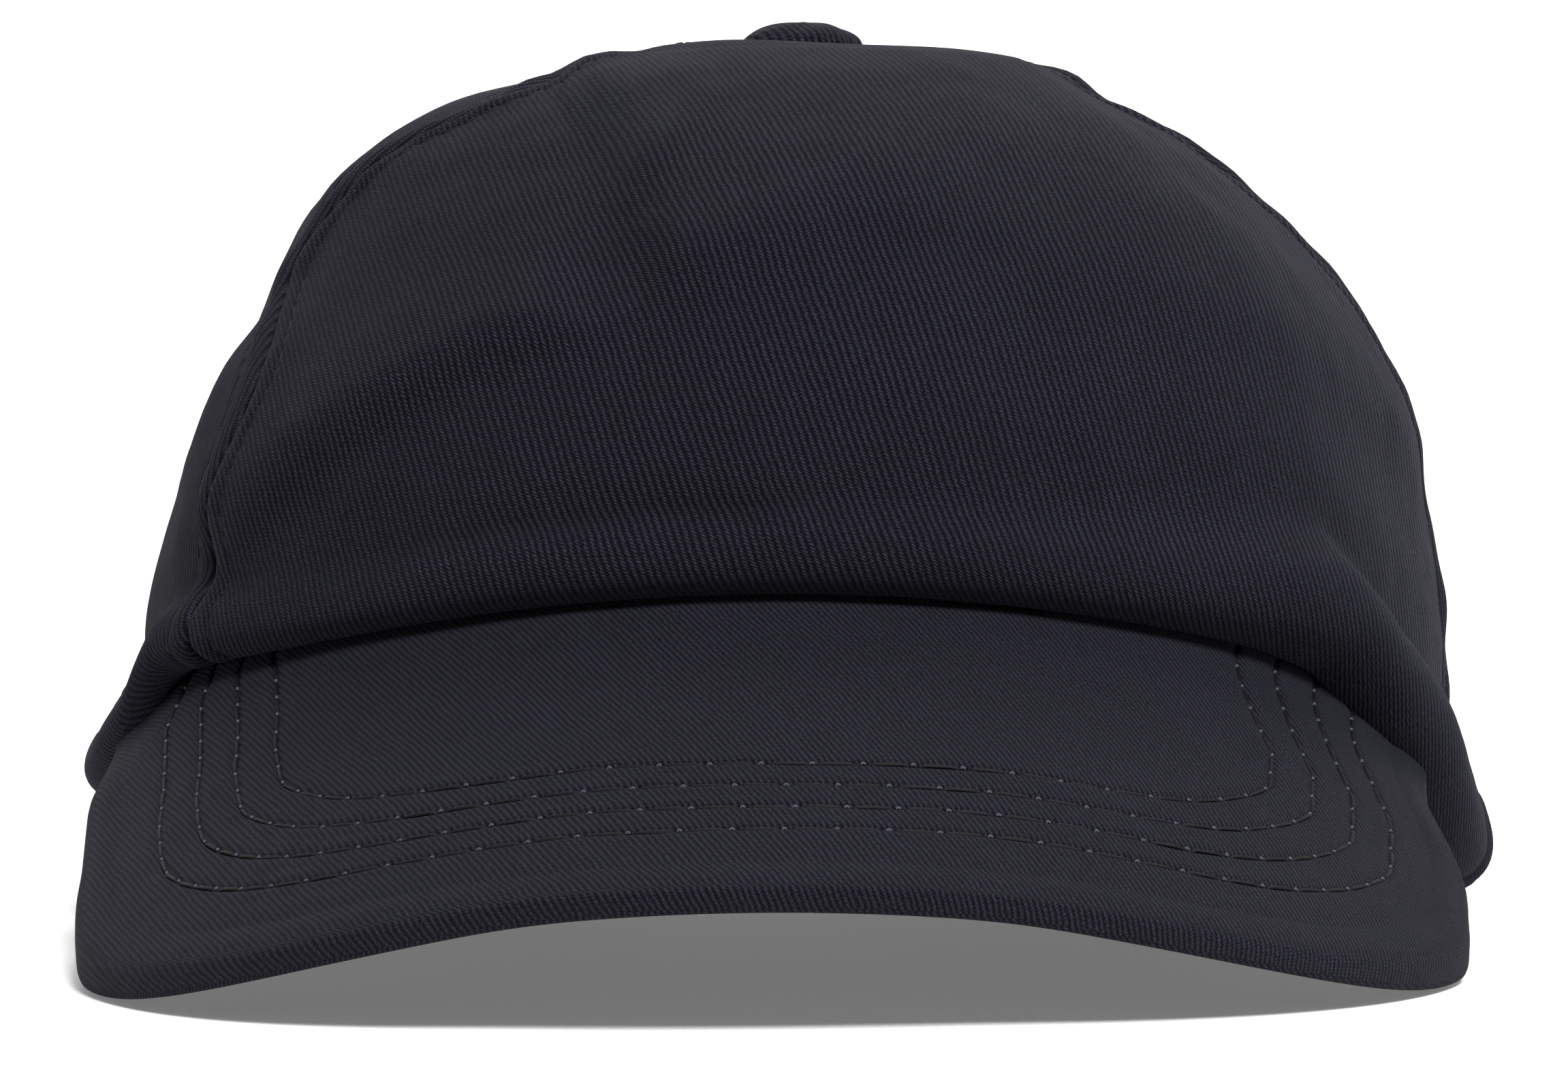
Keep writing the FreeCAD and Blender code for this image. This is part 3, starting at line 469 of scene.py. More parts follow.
LEFT = [(0, .912), (5, .914), (10, .917), (14, .921), (20, .921), (27, .919), (33, .918), (37, .923), (40, .937), (43, .954), (46, .969), (48, .982), (50, .992), (53, 1.0), (57, 1.005), (64, 1.006), (70, 1.012), (76, 1.022), (82, 1.014), (90, 1.0)]
RIGHT = [(0, .950), (5, .952), (10, .957), (12.6, .965), (16.8, .978), (21, .988), (24, .996), (26.8, 1.009), (29.5, 1.022), (33, 1.030), (40, 1.031), (46, 1.030), (52, 1.033), (57, 1.033), (61, 1.029), (66, 1.024), (69, 1.027), (74, 1.024), (82, 1.014), (90, 1.0)]
FRONT = [(0, 1.0), (10, 1.004), (20, 1.016), (32, 1.032), (45, 1.045), (60, 1.047), (70, 1.036), (78, 1.024), (84, 1.012), (90, 1.0)]


def shape_factor(phi, a):
    deg = np.degrees(a)
    s2 = np.sin(phi) ** 2
    side = np.where(phi > 0, table(deg, RIGHT), table(deg, LEFT))
    q = np.abs(np.degrees(phi))
    rear = 1.0 + (side - 1.0) * (1 - smooth(q, 92, 138))
    front = table(deg, FRONT) * (1 - s2) + side * s2
    return np.where(q <= 90, front, rear)


RIM_R = [(52, 27.0), (56, 24.6), (60, 20.6), (64, 16.0), (70, 9.6), (76, 5.4), (82, 3.8), (90, 3.4), (110, 2.4), (130, 1.2), (150, 0.5), (180, 0.35)]
RIM_L = [(62, 28.0), (68, 24.6), (74, 20.0), (80, 16.4), (90, 14.6), (104, 11.0), (120, 6.6), (138, 2.2), (152, 0.6), (180, 0.35)]
ROLL_R = [(0, 2.9), (20, 3.6), (35, 5.6), (48, 7.8), (60, 7.6), (70, 6.0), (80, 4.6), (92, 3.2), (112, 1.6), (138, 0.0), (180, 0.0)]
ROLL_L = [(0, 2.9), (30, 2.9), (50, 3.4), (62, 4.4), (75, 6.0), (86, 6.4), (98, 5.2), (116, 2.4), (138, 0.0), (180, 0.0)]
TALL_R = [(0, 12.0), (30, 16.0), (48, 22.0), (62, 24.0), (75, 22.0), (95, 18.0), (180, 14.0)]
TALL_L = [(0, 11.0), (30, 10.5), (50, 11.0), (64, 13.0), (80, 17.0), (100, 20.0), (180, 14.0)]


def pick(phi, right, left):
    q = np.abs(np.degrees(phi))
    return np.where(phi > 0, table(q, right), table(q, left))


def base_radius(phi):
    return plan_radius(phi) * shape_factor(phi, np.zeros_like(phi))


def rim_z(phi):
    """Height of the crown's lowest fold."""
    r = base_radius(phi)
    q = np.abs(np.degrees(phi))
    on_visor = visor_z(np.clip(r * np.sin(phi), -92, 92), -r * np.cos(phi)) + 1.9
    w = np.where(phi > 0, smooth(q, 48, 57), smooth(q, 60, 68))
    return on_visor * (1 - w) + pick(phi, RIM_R, RIM_L) * w


def sewn_edge(phi):
    """Where the panel is sewn down: on the visor in front, turned up inside elsewhere."""
    q = np.abs(np.degrees(phi))
    rb, zl = base_radius(phi), rim_z(phi)
    rs = rb - 2.7
    zs = visor_z(rs * np.sin(phi), -rs * np.cos(phi)) + 0.2
    w = smooth(q, 68, 80)
    return rs * (1 - w) + (rb - 1.7) * w, zs * (1 - w) + (zl + 1.6) * w


def crown_base(phi, a, rolled=1.0):
    phi, a = np.broadcast_arrays(np.asarray(phi, float), np.asarray(a, float))
    phi = wrap(phi)
    ap = np.clip(a, 0, math.pi / 2 - 1e-6)
    m = shape_factor(phi, ap)
    r0, zl = plan_radius(phi), rim_z(phi)
    rho = r0 * m * np.cos(ap) ** E0
    z = zl + (H - zl) * m * np.sin(ap) ** E0
    roll, tall = rolled * pick(phi, ROLL_R, ROLL_L), pick(phi, TALL_R, TALL_L)
    t = np.clip((z - zl) / tall, 0, 1)
    q = np.abs(np.degrees(phi))
    hang = 0.42 * smooth(q, 50, 70) * (1 - smooth(q, 105, 138))
    rho = rho + roll * (np.sin(math.pi * t ** 0.61) ** 1.15 * smooth(1 - t, 0.0, 0.5) + hang * (1 - t) ** 3)
    # the rolled rim
    rb = base_radius(phi) + roll * hang
    rs, zs = sewn_edge(phi)
    u = np.clip(-a, 0, 1)
    c1r, c1z = rb - 0.5, zl - np.minimum(0.5, 0.3 * zl)
    br = (1 - u) ** 2 * rb + 2 * u * (1 - u) * c1r + u * u * rs
    bz = (1 - u) ** 2 * zl + 2 * u * (1 - u) * c1z + u * u * zs
    low = a < 0
    rho, z = np.where(low, br, rho), np.where(low, bz, z)
    w = np.clip((z - zl) / (H - zl), 0, 1)
    x = rho * np.sin(phi) + 3.4 * smooth(w, 0.90, 1.0)
    y = -rho * np.cos(phi)
    # the top sinks a little round the button and stands up as a soft fold in front of it
    top = np.exp(-((x + 9) / 17.0) ** 2 - ((y + 27) / 11.0) ** 2) * 1.5
    top += np.exp(-((x - 27) / 15.0) ** 2 - ((y + 24) / 12.0) ** 2) * 0.7
    top -= np.exp(-((x - 3.4) / 12.0) ** 2 - (y / 12.0) ** 2) * 0.5
    return np.stack([x, y, z + top], -1)


def crown_normal(phi, a):
    h = 2e-3
    dp = crown_base(phi + h, a) - crown_base(phi - h, a)
    da = crown_base(phi, np.minimum(a + h, math.pi / 2 - 1e-6)) - crown_base(phi, a - h)
    n = np.cross(dp, da)
    n /= np.linalg.norm(n, axis=-1, keepdims=True) + 1e-12
    return n


# soft folds of the front, drawn as (across, up) in mm in the front view: each one is a line above which the cloth
# stands proud.  (points, height, softness, reach above, strength along the line)
FOLDS = [
    ([(-73.2, 46.0), (-67.0, 53.0), (-59.7, 60.2), (-50.7, 66.5), (-39.9, 72.8), (-30.9, 76.2), (-21.0, 77.2)], 6.2, 2.4, 12.0, (0.15, 0.75, 1.15, 1.05, 0.9, 0.8, 0.5)),
    ([(-60.0, 52.0), (-52.5, 57.0), (-44.5, 61.0)], 1.5, 1.9, 5.0, (0.7, 1.0, 0.6)),
    ([(-16.5, 82.6), (-7.5, 86.2), (1.5, 88.9), (12.3, 91.6), (23.2, 91.6), (37.6, 88.4)], 3.4, 4.2, 17.0, (0.9, 1.1, 1.0, 1.0, 0.8, 0.5)),
    ([(-50.7, 46.5), (-41.7, 51.0), (-32.7, 55.1), (-21.9, 57.3), (-11.1, 57.3), (-0.3, 54.6), (8.7, 49.7)], 2.6, 5.0, 15.0, (0.6, 0.85, 1.0, 1.2, 1.2, 1.0, 0.6)),
    ([(-18.3, 96.1), (-12.9, 100.6), (-7.5, 106.0), (-4.8, 110.5)], 2.0, 2.7, 8.0, (0.7, 1.0, 0.8, 0.5)),
    ([(-27.7, 107.4), (-22.8, 110.0), (-17.4, 111.8)], 1.3, 2.2, 5.0, (0.8, 1.0, 0.6)),
    ([(79.8, 69.9), (82.5, 62.7), (85.2, 54.6)], 1.2, 1.3, 3.5, (0.8, 1.0, 0.7)),
    ([(-75.0, 32.0), (-60.0, 39.0), (-40.0, 44.0)], -1.2, 3.0, 8.0, (0.5, 1.0, 0.6)),
]


def front_view(p):
    """A point's place in the front view, in mm at the crown's axis."""
    k = 800.0 / (800.0 + p[..., 1])
    return np.stack([p[..., 0] * k, 57.47 + (p[..., 2] - 57.47) * k], -1)


def fold_curve(pts, strength):
    """Smooth line through a fold's points, with its strength fading to nothing at both ends."""
    pts = np.array(pts, float)
    n = len(pts)
    k = np.arange(n)
    x = np.linspace(0, n - 1, 9 * (n - 1) + 1)
    path = np.stack([table(x, list(zip(k, pts[:, 0]))), table(x, list(zip(k, pts[:, 1])))], -1)
    for _ in range(8):
        path[1:-1] = 0.25 * path[:-2] + 0.5 * path[1:-1] + 0.25 * path[2:]
    w = np.interp(x, k, strength) * smooth(x, 0, 0.9) * (1 - smooth(x, n - 2.1, n - 1))
    return path, w


def folds(p):
    uv = front_view(p)
    out = np.zeros(uv.shape[:-1])
    for pts, height, soft, reach, strength in FOLDS:
        path, ws = fold_curve(pts, strength)
        best = np.full(out.shape, 1e9)
        sd, st = np.zeros(out.shape), np.zeros(out.shape)
        for k in range(len(path) - 1):
            a, b = path[k], path[k + 1]
            ab = b - a
            t = np.clip(((uv - a) @ ab) / (ab @ ab), 0, 1)
            c = uv - (a + t[..., None] * ab)
            dist = np.linalg.norm(c, axis=-1)
            side = np.sign(ab[0] * c[..., 1] - ab[1] * c[..., 0])
            near = dist < best
            best = np.where(near, dist, best)
            sd = np.where(near, side * dist, sd)
            st = np.where(near, ws[k] * (1 - t) + ws[k + 1] * t, st)
        rise = 0.5 * (1 + np.tanh(sd / soft))
        out += height * st * rise * np.exp(-np.maximum(sd, 0) / reach)
    face = smooth(-p[..., 1], 5, 30)
    return out * face


# seams between the panels.  The right front seam (wearer's right, -X) is given by its place in the front view.
SEAM_VIEW = [(20.0, -84.0), (29.3, -82.0), (37.4, -77.7), (42.4, -75.4), (47.5, -74.1), (53.6, -73.1), (60.6, -70.1), (64.7, -68.0), (68.8, -66.3), (73.8, -65.7), (81.9, -64.0), (89.0, -61.9), (94.1, -56.9), (99.6, -52.3), (104.0, -44.0), (108.0, -32.0), (112.0, -14.0)]
SEAM_FR = [(4, 80.0), (20, 83.5), (35, 87.0), (50, 88.5), (68, 87.5), (80, 85.0), (95, 80.0), (113, 70.0)]


def _solve_left_seam():
    a = np.linspace(0.0, math.radians(88.5), 260)
    lo, hi = np.full(a.shape, math.radians(-81.0)), np.full(a.shape, math.radians(-40.0))
    for _ in range(40):
        mid = (lo + hi) / 2
        uv = front_view(crown_base(mid, a))
        left = uv[:, 0] < table(uv[:, 1], SEAM_VIEW)
        lo, hi = np.where(left, mid, lo), np.where(left, hi, mid)
    f = (lo + hi) / 2
    f[a > math.radians(78)] = f[np.argmin(np.abs(a - math.radians(78)))]
    for _ in range(160):
        f[1:-1] = 0.25 * f[:-2] + 0.5 * f[1:-1] + 0.25 * f[2:]
        f[0] = f[1]
    return a, f


SEAM_A, SEAM_F = _solve_left_seam()


def seam_phi(which, a):
    a = np.asarray(a, float)
    start = {"FL": -61.0, "FR": 79.0, "RL": 124.0, "RR": -122.0, "CB": 180.0}[which]
    phi = np.full(a.shape, math.radians(start))
    if which == "FL":
        phi = np.interp(np.maximum(a, 0.0), SEAM_A, SEAM_F)
    elif which == "FR":
        for _ in range(5):
            z = crown_base(phi, np.maximum(a, 0.0))[..., 2]
            phi = 0.5 * phi + 0.5 * np.radians(table(z, SEAM_FR))
    elif which in ("RL", "RR"):
        z = crown_base(phi, np.maximum(a, 0.0))[..., 2]
        phi = phi + np.radians(1.1) * np.sin(z / 17.0 + (0 if which == "RL" else 2))
    return phi


def crown(phi, a, to_seam=None, sink=0.0, rolled=1.0):
    """Finished point and normal: base, folds, small creases and the dip at a seam (to_seam in mm)."""
    p, n = crown_base(phi, a, rolled), crown_normal(phi, a)
    d = folds(p)
    z = p[..., 2]
    live = smooth(z, rim_z(wrap(np.asarray(phi, float) + 0 * z)) + 1.0, rim_z(wrap(np.asarray(phi, float) + 0 * z)) + 8.0) * (1 - smooth(z, 110.5, 112.5))
    d = d * live
    q = np.abs(np.degrees(wrap(np.asarray(phi, float) + 0 * z)))
    d = d + live * (0.42 * ripple(p, 27, 1) + 0.15 * ripple(p, 9.5, 2) + 0.05 * ripple(p, 4.0, 3))
    # long soft dents at the sides and back
    far = smooth(q, 80, 105)
    live = live * (1 - 0.85 * smooth(q, 100, 125) * (1 - smooth(z, 24, 42)))
    d = d + live * far * (1 - smooth(q, 138, 150) * (1 - smooth(z, 40, 60))) * 0.9 * ripple(p, 46, 4)
    if to_seam is not None:
        s = np.abs(to_seam)
        puck = 1.0 + 0.45 * ripple(p, 4.6, 5)
        near = np.exp(-(s / 9.0) ** 2)
        d = d + live * near * 0.26 * ripple(p, 5.0, 6)
        d = d + (-0.80 * np.exp(-(s / 0.42) ** 2) - 0.22 * np.exp(-(s / 1.1) ** 2) + 0.46 * puck * np.exp(-((s - 2.7) / 1.7) ** 2) - 0.24 * np.exp(-((s - 5.0) / 0.45) ** 2)) * np.where(a >= 0, 1.0, 0.35) * (1 - 0.75 * smooth(z, 108.5, 112))
    return p + n * (d - sink)[..., None], n


A_TOP = math.radians(86.6)


def a_rows(n):
    j = np.linspace(0, 1, n)
    a = A_TOP * j ** 1.45
    return np.concatenate([np.array([-1.0, -0.8, -0.6, -0.4, -0.2]), a])


def a_at_height(phi, z):
    lo, hi = np.zeros(np.shape(phi)), np.full(np.shape(phi), math.pi / 2 - 1e-4)
    for _ in range(34):
        mid = (lo + hi) / 2
        up = crown_base(phi, mid)[..., 2] < z
        lo, hi = np.where(up, mid, lo), np.where(up, hi, mid)
    return (lo + hi) / 2


EDGE = np.array([0.0, 0.22, 0.45, 0.75, 1.1, 1.6, 2.2, 2.9, 3.6, 4.2, 4.6, 4.85, 5.0, 5.15, 5.4, 5.9, 6.8, 8.2])


def columns(width, n_mid):
    """Distances across a panel for one row: fine beside both seams, even between."""
    k = np.minimum(1.0, width / 28.0)
    left = EDGE[None, :] * k[:, None]
    t = np.linspace(0, 1, n_mid)[1:-1]
    mid = left[:, -1:] + (width[:, None] - 2 * left[:, -1:]) * t[None, :]
    return np.concatenate([left, mid, (width[:, None] - left)[:, ::-1]], 1)


HOLES = {}
EYELETS = {"eyelet_side_left": math.radians(103), "eyelet_side_right": math.radians(-94), "eyelet_back_left": math.radians(148), "eyelet_back_right": math.radians(-148)}


def panel(name, seam0, seam1, n_mid, mat, slot, node, u_ref, rows=104, arch=False, eyelet=None):
    a = a_rows(rows)
    f0, f1 = seam_phi(seam0, a), seam_phi(seam1, a)
    if seam0 == "CB":
        f0 = f0 - 2 * math.pi
    rho = np.linalg.norm(crown_base((f0 + f1) / 2, a)[..., :2], axis=-1)
    rho = np.maximum(rho, 3.0)
    width = rho * (f1 - f0)
    d = columns(width, n_mid)
    phi = f0[:, None] + d / rho[:, None]
    aa = np.broadcast_to(a[:, None], phi.shape)
    to_seam = np.minimum(d, width[:, None] - d)
    P, n = crown(phi, aa, to_seam)
    thick = np.where(aa >= 0, 0.75, 0.45)[..., None]
    # the inner face: straight through the cloth
    Q = P - n * thick
    s = np.concatenate([[0], np.cumsum(np.linalg.norm(np.diff(P[:, P.shape[1] // 2], axis=0), axis=1))])
    s = s - s[5]
    mid = (f0 + f1) / 2
    uu = (phi - mid[:, None]) * rho[:, None]
    if node == "front_panel":
        # the front is cut on the straight grain, so its threads run in upright planes
        uu = 92.0 * np.arcsin(np.clip(P[..., 0] / 96.0, -0.97, 0.97))
    UV = np.stack([uu + u_ref, np.broadcast_to(s[:, None], uu.shape)], -1)
    verts, faces, uv = slab(P.transpose(1, 0, 2), Q.transpose(1, 0, 2), UV.transpose(1, 0, 2))
    n_out = len(verts) // 2
    fm = (np.asarray(faces) >= n_out).sum(1) >= 3
    ob = build(name, verts, faces, uv, mats=[mat, m_inside], slot=slot, body=None, sharp=50, face_mat=fm.astype(int))
    area = float(np.linalg.norm(np.cross(P[1:, :-1] - P[:-1, :-1], P[:-1, 1:] - P[:-1, :-1]), axis=-1).sum())
    cutters = []
    if arch:
        cutters.append((arch_cutter(), "FAST"))
    if eyelet is not None:
        cutters.append((hole_cutter(eyelet), "EXACT"))
    for c, solver in cutters:
        md = ob.modifiers.new("open", "BOOLEAN")
        md.operation, md.object, md.solver = "DIFFERENCE", c, solver
        bpy.context.view_layer.objects.active = ob
        dg = bpy.context.evaluated_depsgraph_get()
        new = bpy.data.meshes.new_from_object(ob.evaluated_get(dg))
        ob.modifiers.clear()
        old = ob.data
        ob.data = new
        new.name = name
        bpy.data.meshes.remove(old)
        bpy.data.objects.remove(c)
    ob.data.shade_smooth()
    ob.data.set_sharp_from_angle(angle=math.radians(50))
    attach(ob, "cap")
    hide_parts(node)
    wmax, lmax = float(width.max()), float(s[-1])
    HOLES[name] = (wmax, lmax, area)
    return ob


AW, AH = 36.0, 44.0


def arch_xz(n, grow=0.0):
    w, h = AW + grow, AH + grow
    t = np.linspace(0, math.pi, n)
    return np.stack([w * np.cos(t), 6 + (h - 6) * np.sin(t)], -1)


def prism_object(ring, direction, name):
    """Closed prism from a ring of points swept by a vector, as a tool for cutting."""
    ring = np.asarray(ring, float)
    n = len(ring)
    verts = np.concatenate([ring, ring + np.asarray(direction, float)])
    faces = [list(range(n))[::-1], list(range(n, 2 * n))] + [[i, (i + 1) % n, n + (i + 1) % n, n + i] for i in range(n)]
    me = bpy.data.meshes.new(name)
    me.from_pydata((verts * MM).tolist(), [], faces)
    bm = bmesh.new()
    bm.from_mesh(me)
    bmesh.ops.recalc_face_normals(bm, faces=bm.faces)
    bm.to_mesh(me)
    bm.free()
    ob = bpy.data.objects.new(name, me)
    bpy.context.scene.collection.objects.link(ob)
    return ob


def arch_cutter():
    xz = arch_xz(49, 0.55)
    ring = [(x, 60, z) for x, z in xz] + [(-AW - 0.55, 60, -6), (AW + 0.55, 60, -6)]
    return prism_object(ring, (0, 50, 0), "tool_arch")


EYE_FRAME = {}


def hole_cutter(key):
    phi = EYELETS[key]
    a = a_at_height(np.array(phi), 76.0)
    p, n = crown(np.array(phi), a)
    EYE_FRAME[key] = (p, n)
    x = np.cross(n, [0, 0, 1.0])
    x /= np.linalg.norm(x)
    y = np.cross(n, x)
    t = np.linspace(0, 2 * math.pi, 24, endpoint=False)
    ring = p + n * 5 + 2.5 * (np.cos(t)[:, None] * x + np.sin(t)[:, None] * y)
    return prism_object(ring, -n * 12, "tool_hole")


panel("crown_front", "FL", "FR", 120, m_front, "crown_twill", "front_panel", 0.0, rows=136)
panel("crown_side_left", "FR", "RL", 34, m_side_l, "crown_twill", "side_panel_left", 310.0, eyelet="eyelet_side_left")
panel("crown_back_left", "RL", "CB", 46, m_back, "crown_twill", "back_panel_left", 620.0, arch=True, eyelet="eyelet_back_left")
panel("crown_back_right", "CB", "RR", 46, m_back, "crown_twill", "back_panel_right", 930.0, arch=True, eyelet="eyelet_back_right")
panel("crown_side_right", "RR", "FL", 46, m_side_r, "crown_twill", "side_panel_right", 1240.0, eyelet="eyelet_side_right")

# rows of topstitching that hold the seam allowances down, one each side of every seam
seam_rows = Bunch()
for key in ("FL", "FR", "RL", "RR", "CB"):
    a = np.linspace(0.0, math.radians(84.0), 500)
    ph = seam_phi(key, a)
    rho = np.maximum(np.linalg.norm(crown_base(ph, a)[:, :2], axis=-1), 8.0)
    for side in (-1, 1):
        dist = 5.0 * np.minimum(1.0, rho / 30.0)
        P, n = crown(ph + side * dist / rho, a, np.full(len(a), 5.0))
        ok = P[:, 2] > rim_z(wrap(ph)) + 0.6
        if key == "CB":
            ok &= P[:, 2] > AH + 3.0
        ok &= rho > 11
        stitches(seam_rows, P[ok], n[ok], pitch=2.9, r=0.21, lift=0.03, start=0.6 + 0.4 * side)
seam_rows.object("crown_topstitching", mats=[m_thread_top], slot="sewing_thread", sharp=60)

# ---------------------------------------------------------------------------------------------
# visor.  s runs across the cloth, v forward, both in mm in the visor's own flat sheet
# ---------------------------------------------------------------------------------------------
VW, VL, VF, VC, VT = 94.0, 68.1, 107.0, 74.0, 0.117


def half_outline():
    sc = VW - VC
    slope = -sc / VF
    vc = VL - sc * sc / (2 * VF) - VC * math.sqrt(1 + slope * slope)
    pts = [(sc * i / 14.0, VL - (sc * i / 14.0) ** 2 / (2 * VF)) for i in range(14)]
    a0 = math.pi / 2 - math.atan(-slope)
    pts += [(sc + VC * math.cos(a0 * (1 - i / 70.0)), vc + VC * math.sin(a0 * (1 - i / 70.0))) for i in range(70)]
    pts += [(VW + VT * (vc - v), v) for v in np.linspace(vc, -76.0, 56)]
    return np.array(pts)


def full_outline():
    h = half_outline()
    r, l = h.copy(), h.copy()
    r[:, 0] -= 2.5 * smooth(22 - r[:, 1], 0, 18) + 6.0 * smooth(4 - r[:, 1], 0, 30)
    l[:, 0] -= 1.3 * smooth(22 - l[:, 1], 0, 18) + 4.0 * smooth(-l[:, 1], 32, 55)
    l[:, 0] *= -1
    P = np.concatenate([l[::-1], r[1:]])
    # even spacing
    s = np.concatenate([[0], np.cumsum(np.linalg.norm(np.diff(P, axis=0), axis=1))])
    n = int(s[-1] / 1.25)
    x = np.linspace(0, s[-1], n)
    P = np.stack([np.interp(x, s, P[:, 0]), np.interp(x, s, P[:, 1])], -1)
    for _ in range(6):
        P[1:-1] = 0.25 * P[:-2] + 0.5 * P[1:-1] + 0.25 * P[2:]
    T = np.gradient(P, axis=0)
    T /= np.linalg.norm(T, axis=1, keepdims=True)
    N = np.stack([T[:, 1], -T[:, 0]], -1)
    for _ in range(12):
        N[1:-1] = 0.25 * N[:-2] + 0.5 * N[1:-1] + 0.25 * N[2:]
    N /= np.linalg.norm(N, axis=1, keepdims=True)
    return P, N


OUT_P, OUT_N = full_outline()


def visor_xyz(s, v, up):
    x = RB * np.sin(s / RB)
    n = -RB + np.sqrt(np.maximum((RB + up) ** 2 - x * x, 1.0))
    return np.stack([x, VY - v * CB - n * SB, VZ - v * SB + n * CB], -1)


def visor_at(s, v, up):
    p = visor_xyz(s, v, up)
    p[..., 2] -= droop(p[..., 0], p[..., 1])
    return p


def outside_crown(p, inset):
    phi = np.arctan2(p[..., 0], -p[..., 1])
    return np.linalg.norm(p[..., :2], axis=-1) - (base_radius(phi) - inset)


def reach_in(inset):
    """How far each ray from the edge runs before it meets the crown's sewn line."""
    d = np.linspace(0, 84, 337)
    P = OUT_P[:, None] + d[None, :, None] * OUT_N[:, None]
    ok = (outside_crown(visor_xyz(P[..., 0], P[..., 1], 0.0), inset) > 0) & (visor_xyz(P[..., 0], P[..., 1], 0.0)[..., 1] < 0)
    first = np.where(ok.all(1), len(d) - 1, np.argmin(ok, 1))
    return d[first]


ROOT = reach_in(3.1)
KEEP = ROOT > 2.2
k0, k1 = np.argmax(KEEP), len(KEEP) - np.argmax(KEEP[::-1])
OUT_P, OUT_N, ROOT = OUT_P[k0:k1], OUT_N[k0:k1], ROOT[k0:k1]
S_ROWS = [15.3 + 5.65 * k for k in range(4)]


def visor_rows():
    rows = [1.4, 2.0, 2.8, 3.6, 4.6, 5.8, 7.0, 8.4, 10.0, 11.4, 12.6]
    for c in S_ROWS:
        rows += [c + t for t in (-2.1, -1.6, -1.15, -0.85, -0.6, -0.42, -0.28, -0.14, 0, 0.14, 0.28, 0.42, 0.6, 0.85, 1.15, 1.6, 2.1, 2.8)]
    x = S_ROWS[-1] + 3.6
    while x < 84:
        rows.append(x)
        x += 1.3
    return np.array(rows)


def visor_relief(p, d):
    """Cloth height over the board: a trough at each stitch row with puffed cloth between, and slight waves."""
    out = 0.10 * ripple(p, 18, 7) + 0.05 * ripple(p, 5.5, 8)
    for c in S_ROWS:
        q = np.abs(d - c)
        out = out - 0.34 * np.exp(-(q / 0.42) ** 2) - 0.10 * np.exp(-(q / 1.2) ** 2) + 0.05 * np.exp(-((q - 1.5) / 0.8) ** 2) * (1 + ripple(p, 3.5, 9))
    # the folded edge swells over the board's rim
    out = out + 0.22 * np.exp(-((d - 3.4) / 1.7) ** 2) - 0.18 * np.exp(-((d - 7.2) / 1.1) ** 2)
    return out


OUTWARD = 3.0 * smooth(OUT_P[:, 0], 30, 72) + 1.4 * smooth(-OUT_P[:, 0], 40, 75)


def nearer(D):
    """Offset of a row from the edge: rows crowd towards the edge at the visor's two sides."""
    return D[None, :] - OUTWARD[:, None] * smooth(D, 3, 13)[None, :]


def visor_grid(profile, level, side):
    """profile: (d, up) rows round the edge, then the face at this level."""
    d_face = visor_rows()
    D = np.concatenate([[p[0] for p in profile], d_face])
    U = np.concatenate([[p[1] for p in profile], np.full(len(d_face), level)])
    dd = np.minimum(nearer(D), ROOT[:, None])
    P = OUT_P[:, None] + dd[..., None] * OUT_N[:, None]
    p0 = visor_at(P[..., 0], P[..., 1], np.broadcast_to(U[None, :], dd.shape))
    return D, dd, P, p0


def visor_cover(name, outer_prof, inner_prof, level, inner_level, side, mat, inside_mat, node):
    D, dd, F, P = visor_grid(outer_prof, level, side)
    up = visor_at(F[..., 0], F[..., 1], np.full(dd.shape, level + 1.0)) - visor_at(F[..., 0], F[..., 1], np.full(dd.shape, level))
    up /= np.linalg.norm(up, axis=-1, keepdims=True)
    amp = smooth(dd, 0.3, 2.0) * side
    rel = visor_relief(P, np.broadcast_to(D[None, :], dd.shape))
    P = P + up * (amp * rel)[..., None]
    _, _, G, Q = visor_grid(inner_prof, inner_level, side)
    uv = F.copy()
    # carry the cloth map round the edge, so the weave doesn't stretch there
    back = np.concatenate([[0], np.cumsum(np.linalg.norm(np.diff(np.array(outer_prof), axis=0), axis=1))])
    for k in range(len(outer_prof)):
        uv[:, k] = OUT_P - OUT_N * (back[-1] - back[k])
    verts, faces, uvs = slab(P, Q, uv)
    n_out = len(verts) // 2
    fm = ((np.asarray(faces) >= n_out).sum(1) >= 3).astype(int)
    ob = build(name, verts, faces, uvs, mats=[mat, inside_mat], slot="visor_twill", sharp=60, face_mat=fm, weld=0.004)
    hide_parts(node)
    area = float(np.linalg.norm(np.cross(P[1:, :-1] - P[:-1, :-1], P[:-1, 1:] - P[:-1, :-1]), axis=-1).sum())
    w, l = 2 * VW, 140.0
    HOLES[name] = (w, l, area)
    return ob


EDGE_TOP = [(0.0, -2.2), (0.0, -1.6), (0.0, -0.95), (0.13, -0.5), (0.42, -0.17), (0.85, -0.03)]
EDGE_TOP_IN = [(0.55, -2.2), (0.55, -1.6), (0.6, -1.15), (0.75, -0.9), (1.0, -0.72), (1.25, -0.63)]
EDGE_LOW = [(0.0, -2.22), (0.03, -2.55), (0.16, -2.85), (0.42, -3.05), (0.7, -3.14), (0.95, -3.19)]
EDGE_LOW_IN = [(0.55, -2.22), (0.57, -2.32), (0.66, -2.42), (0.85, -2.52), (1.05, -2.58), (1.25, -2.6)]
visor_cover("visor_cover_top", EDGE_TOP, EDGE_TOP_IN, 0.0, -0.6, 1, m_visor, m_under, "visor_top_cover")
visor_cover("visor_cover_under", EDGE_LOW, EDGE_LOW_IN, -3.2, -2.62, -1, m_under, m_under, "visor_under_cover")

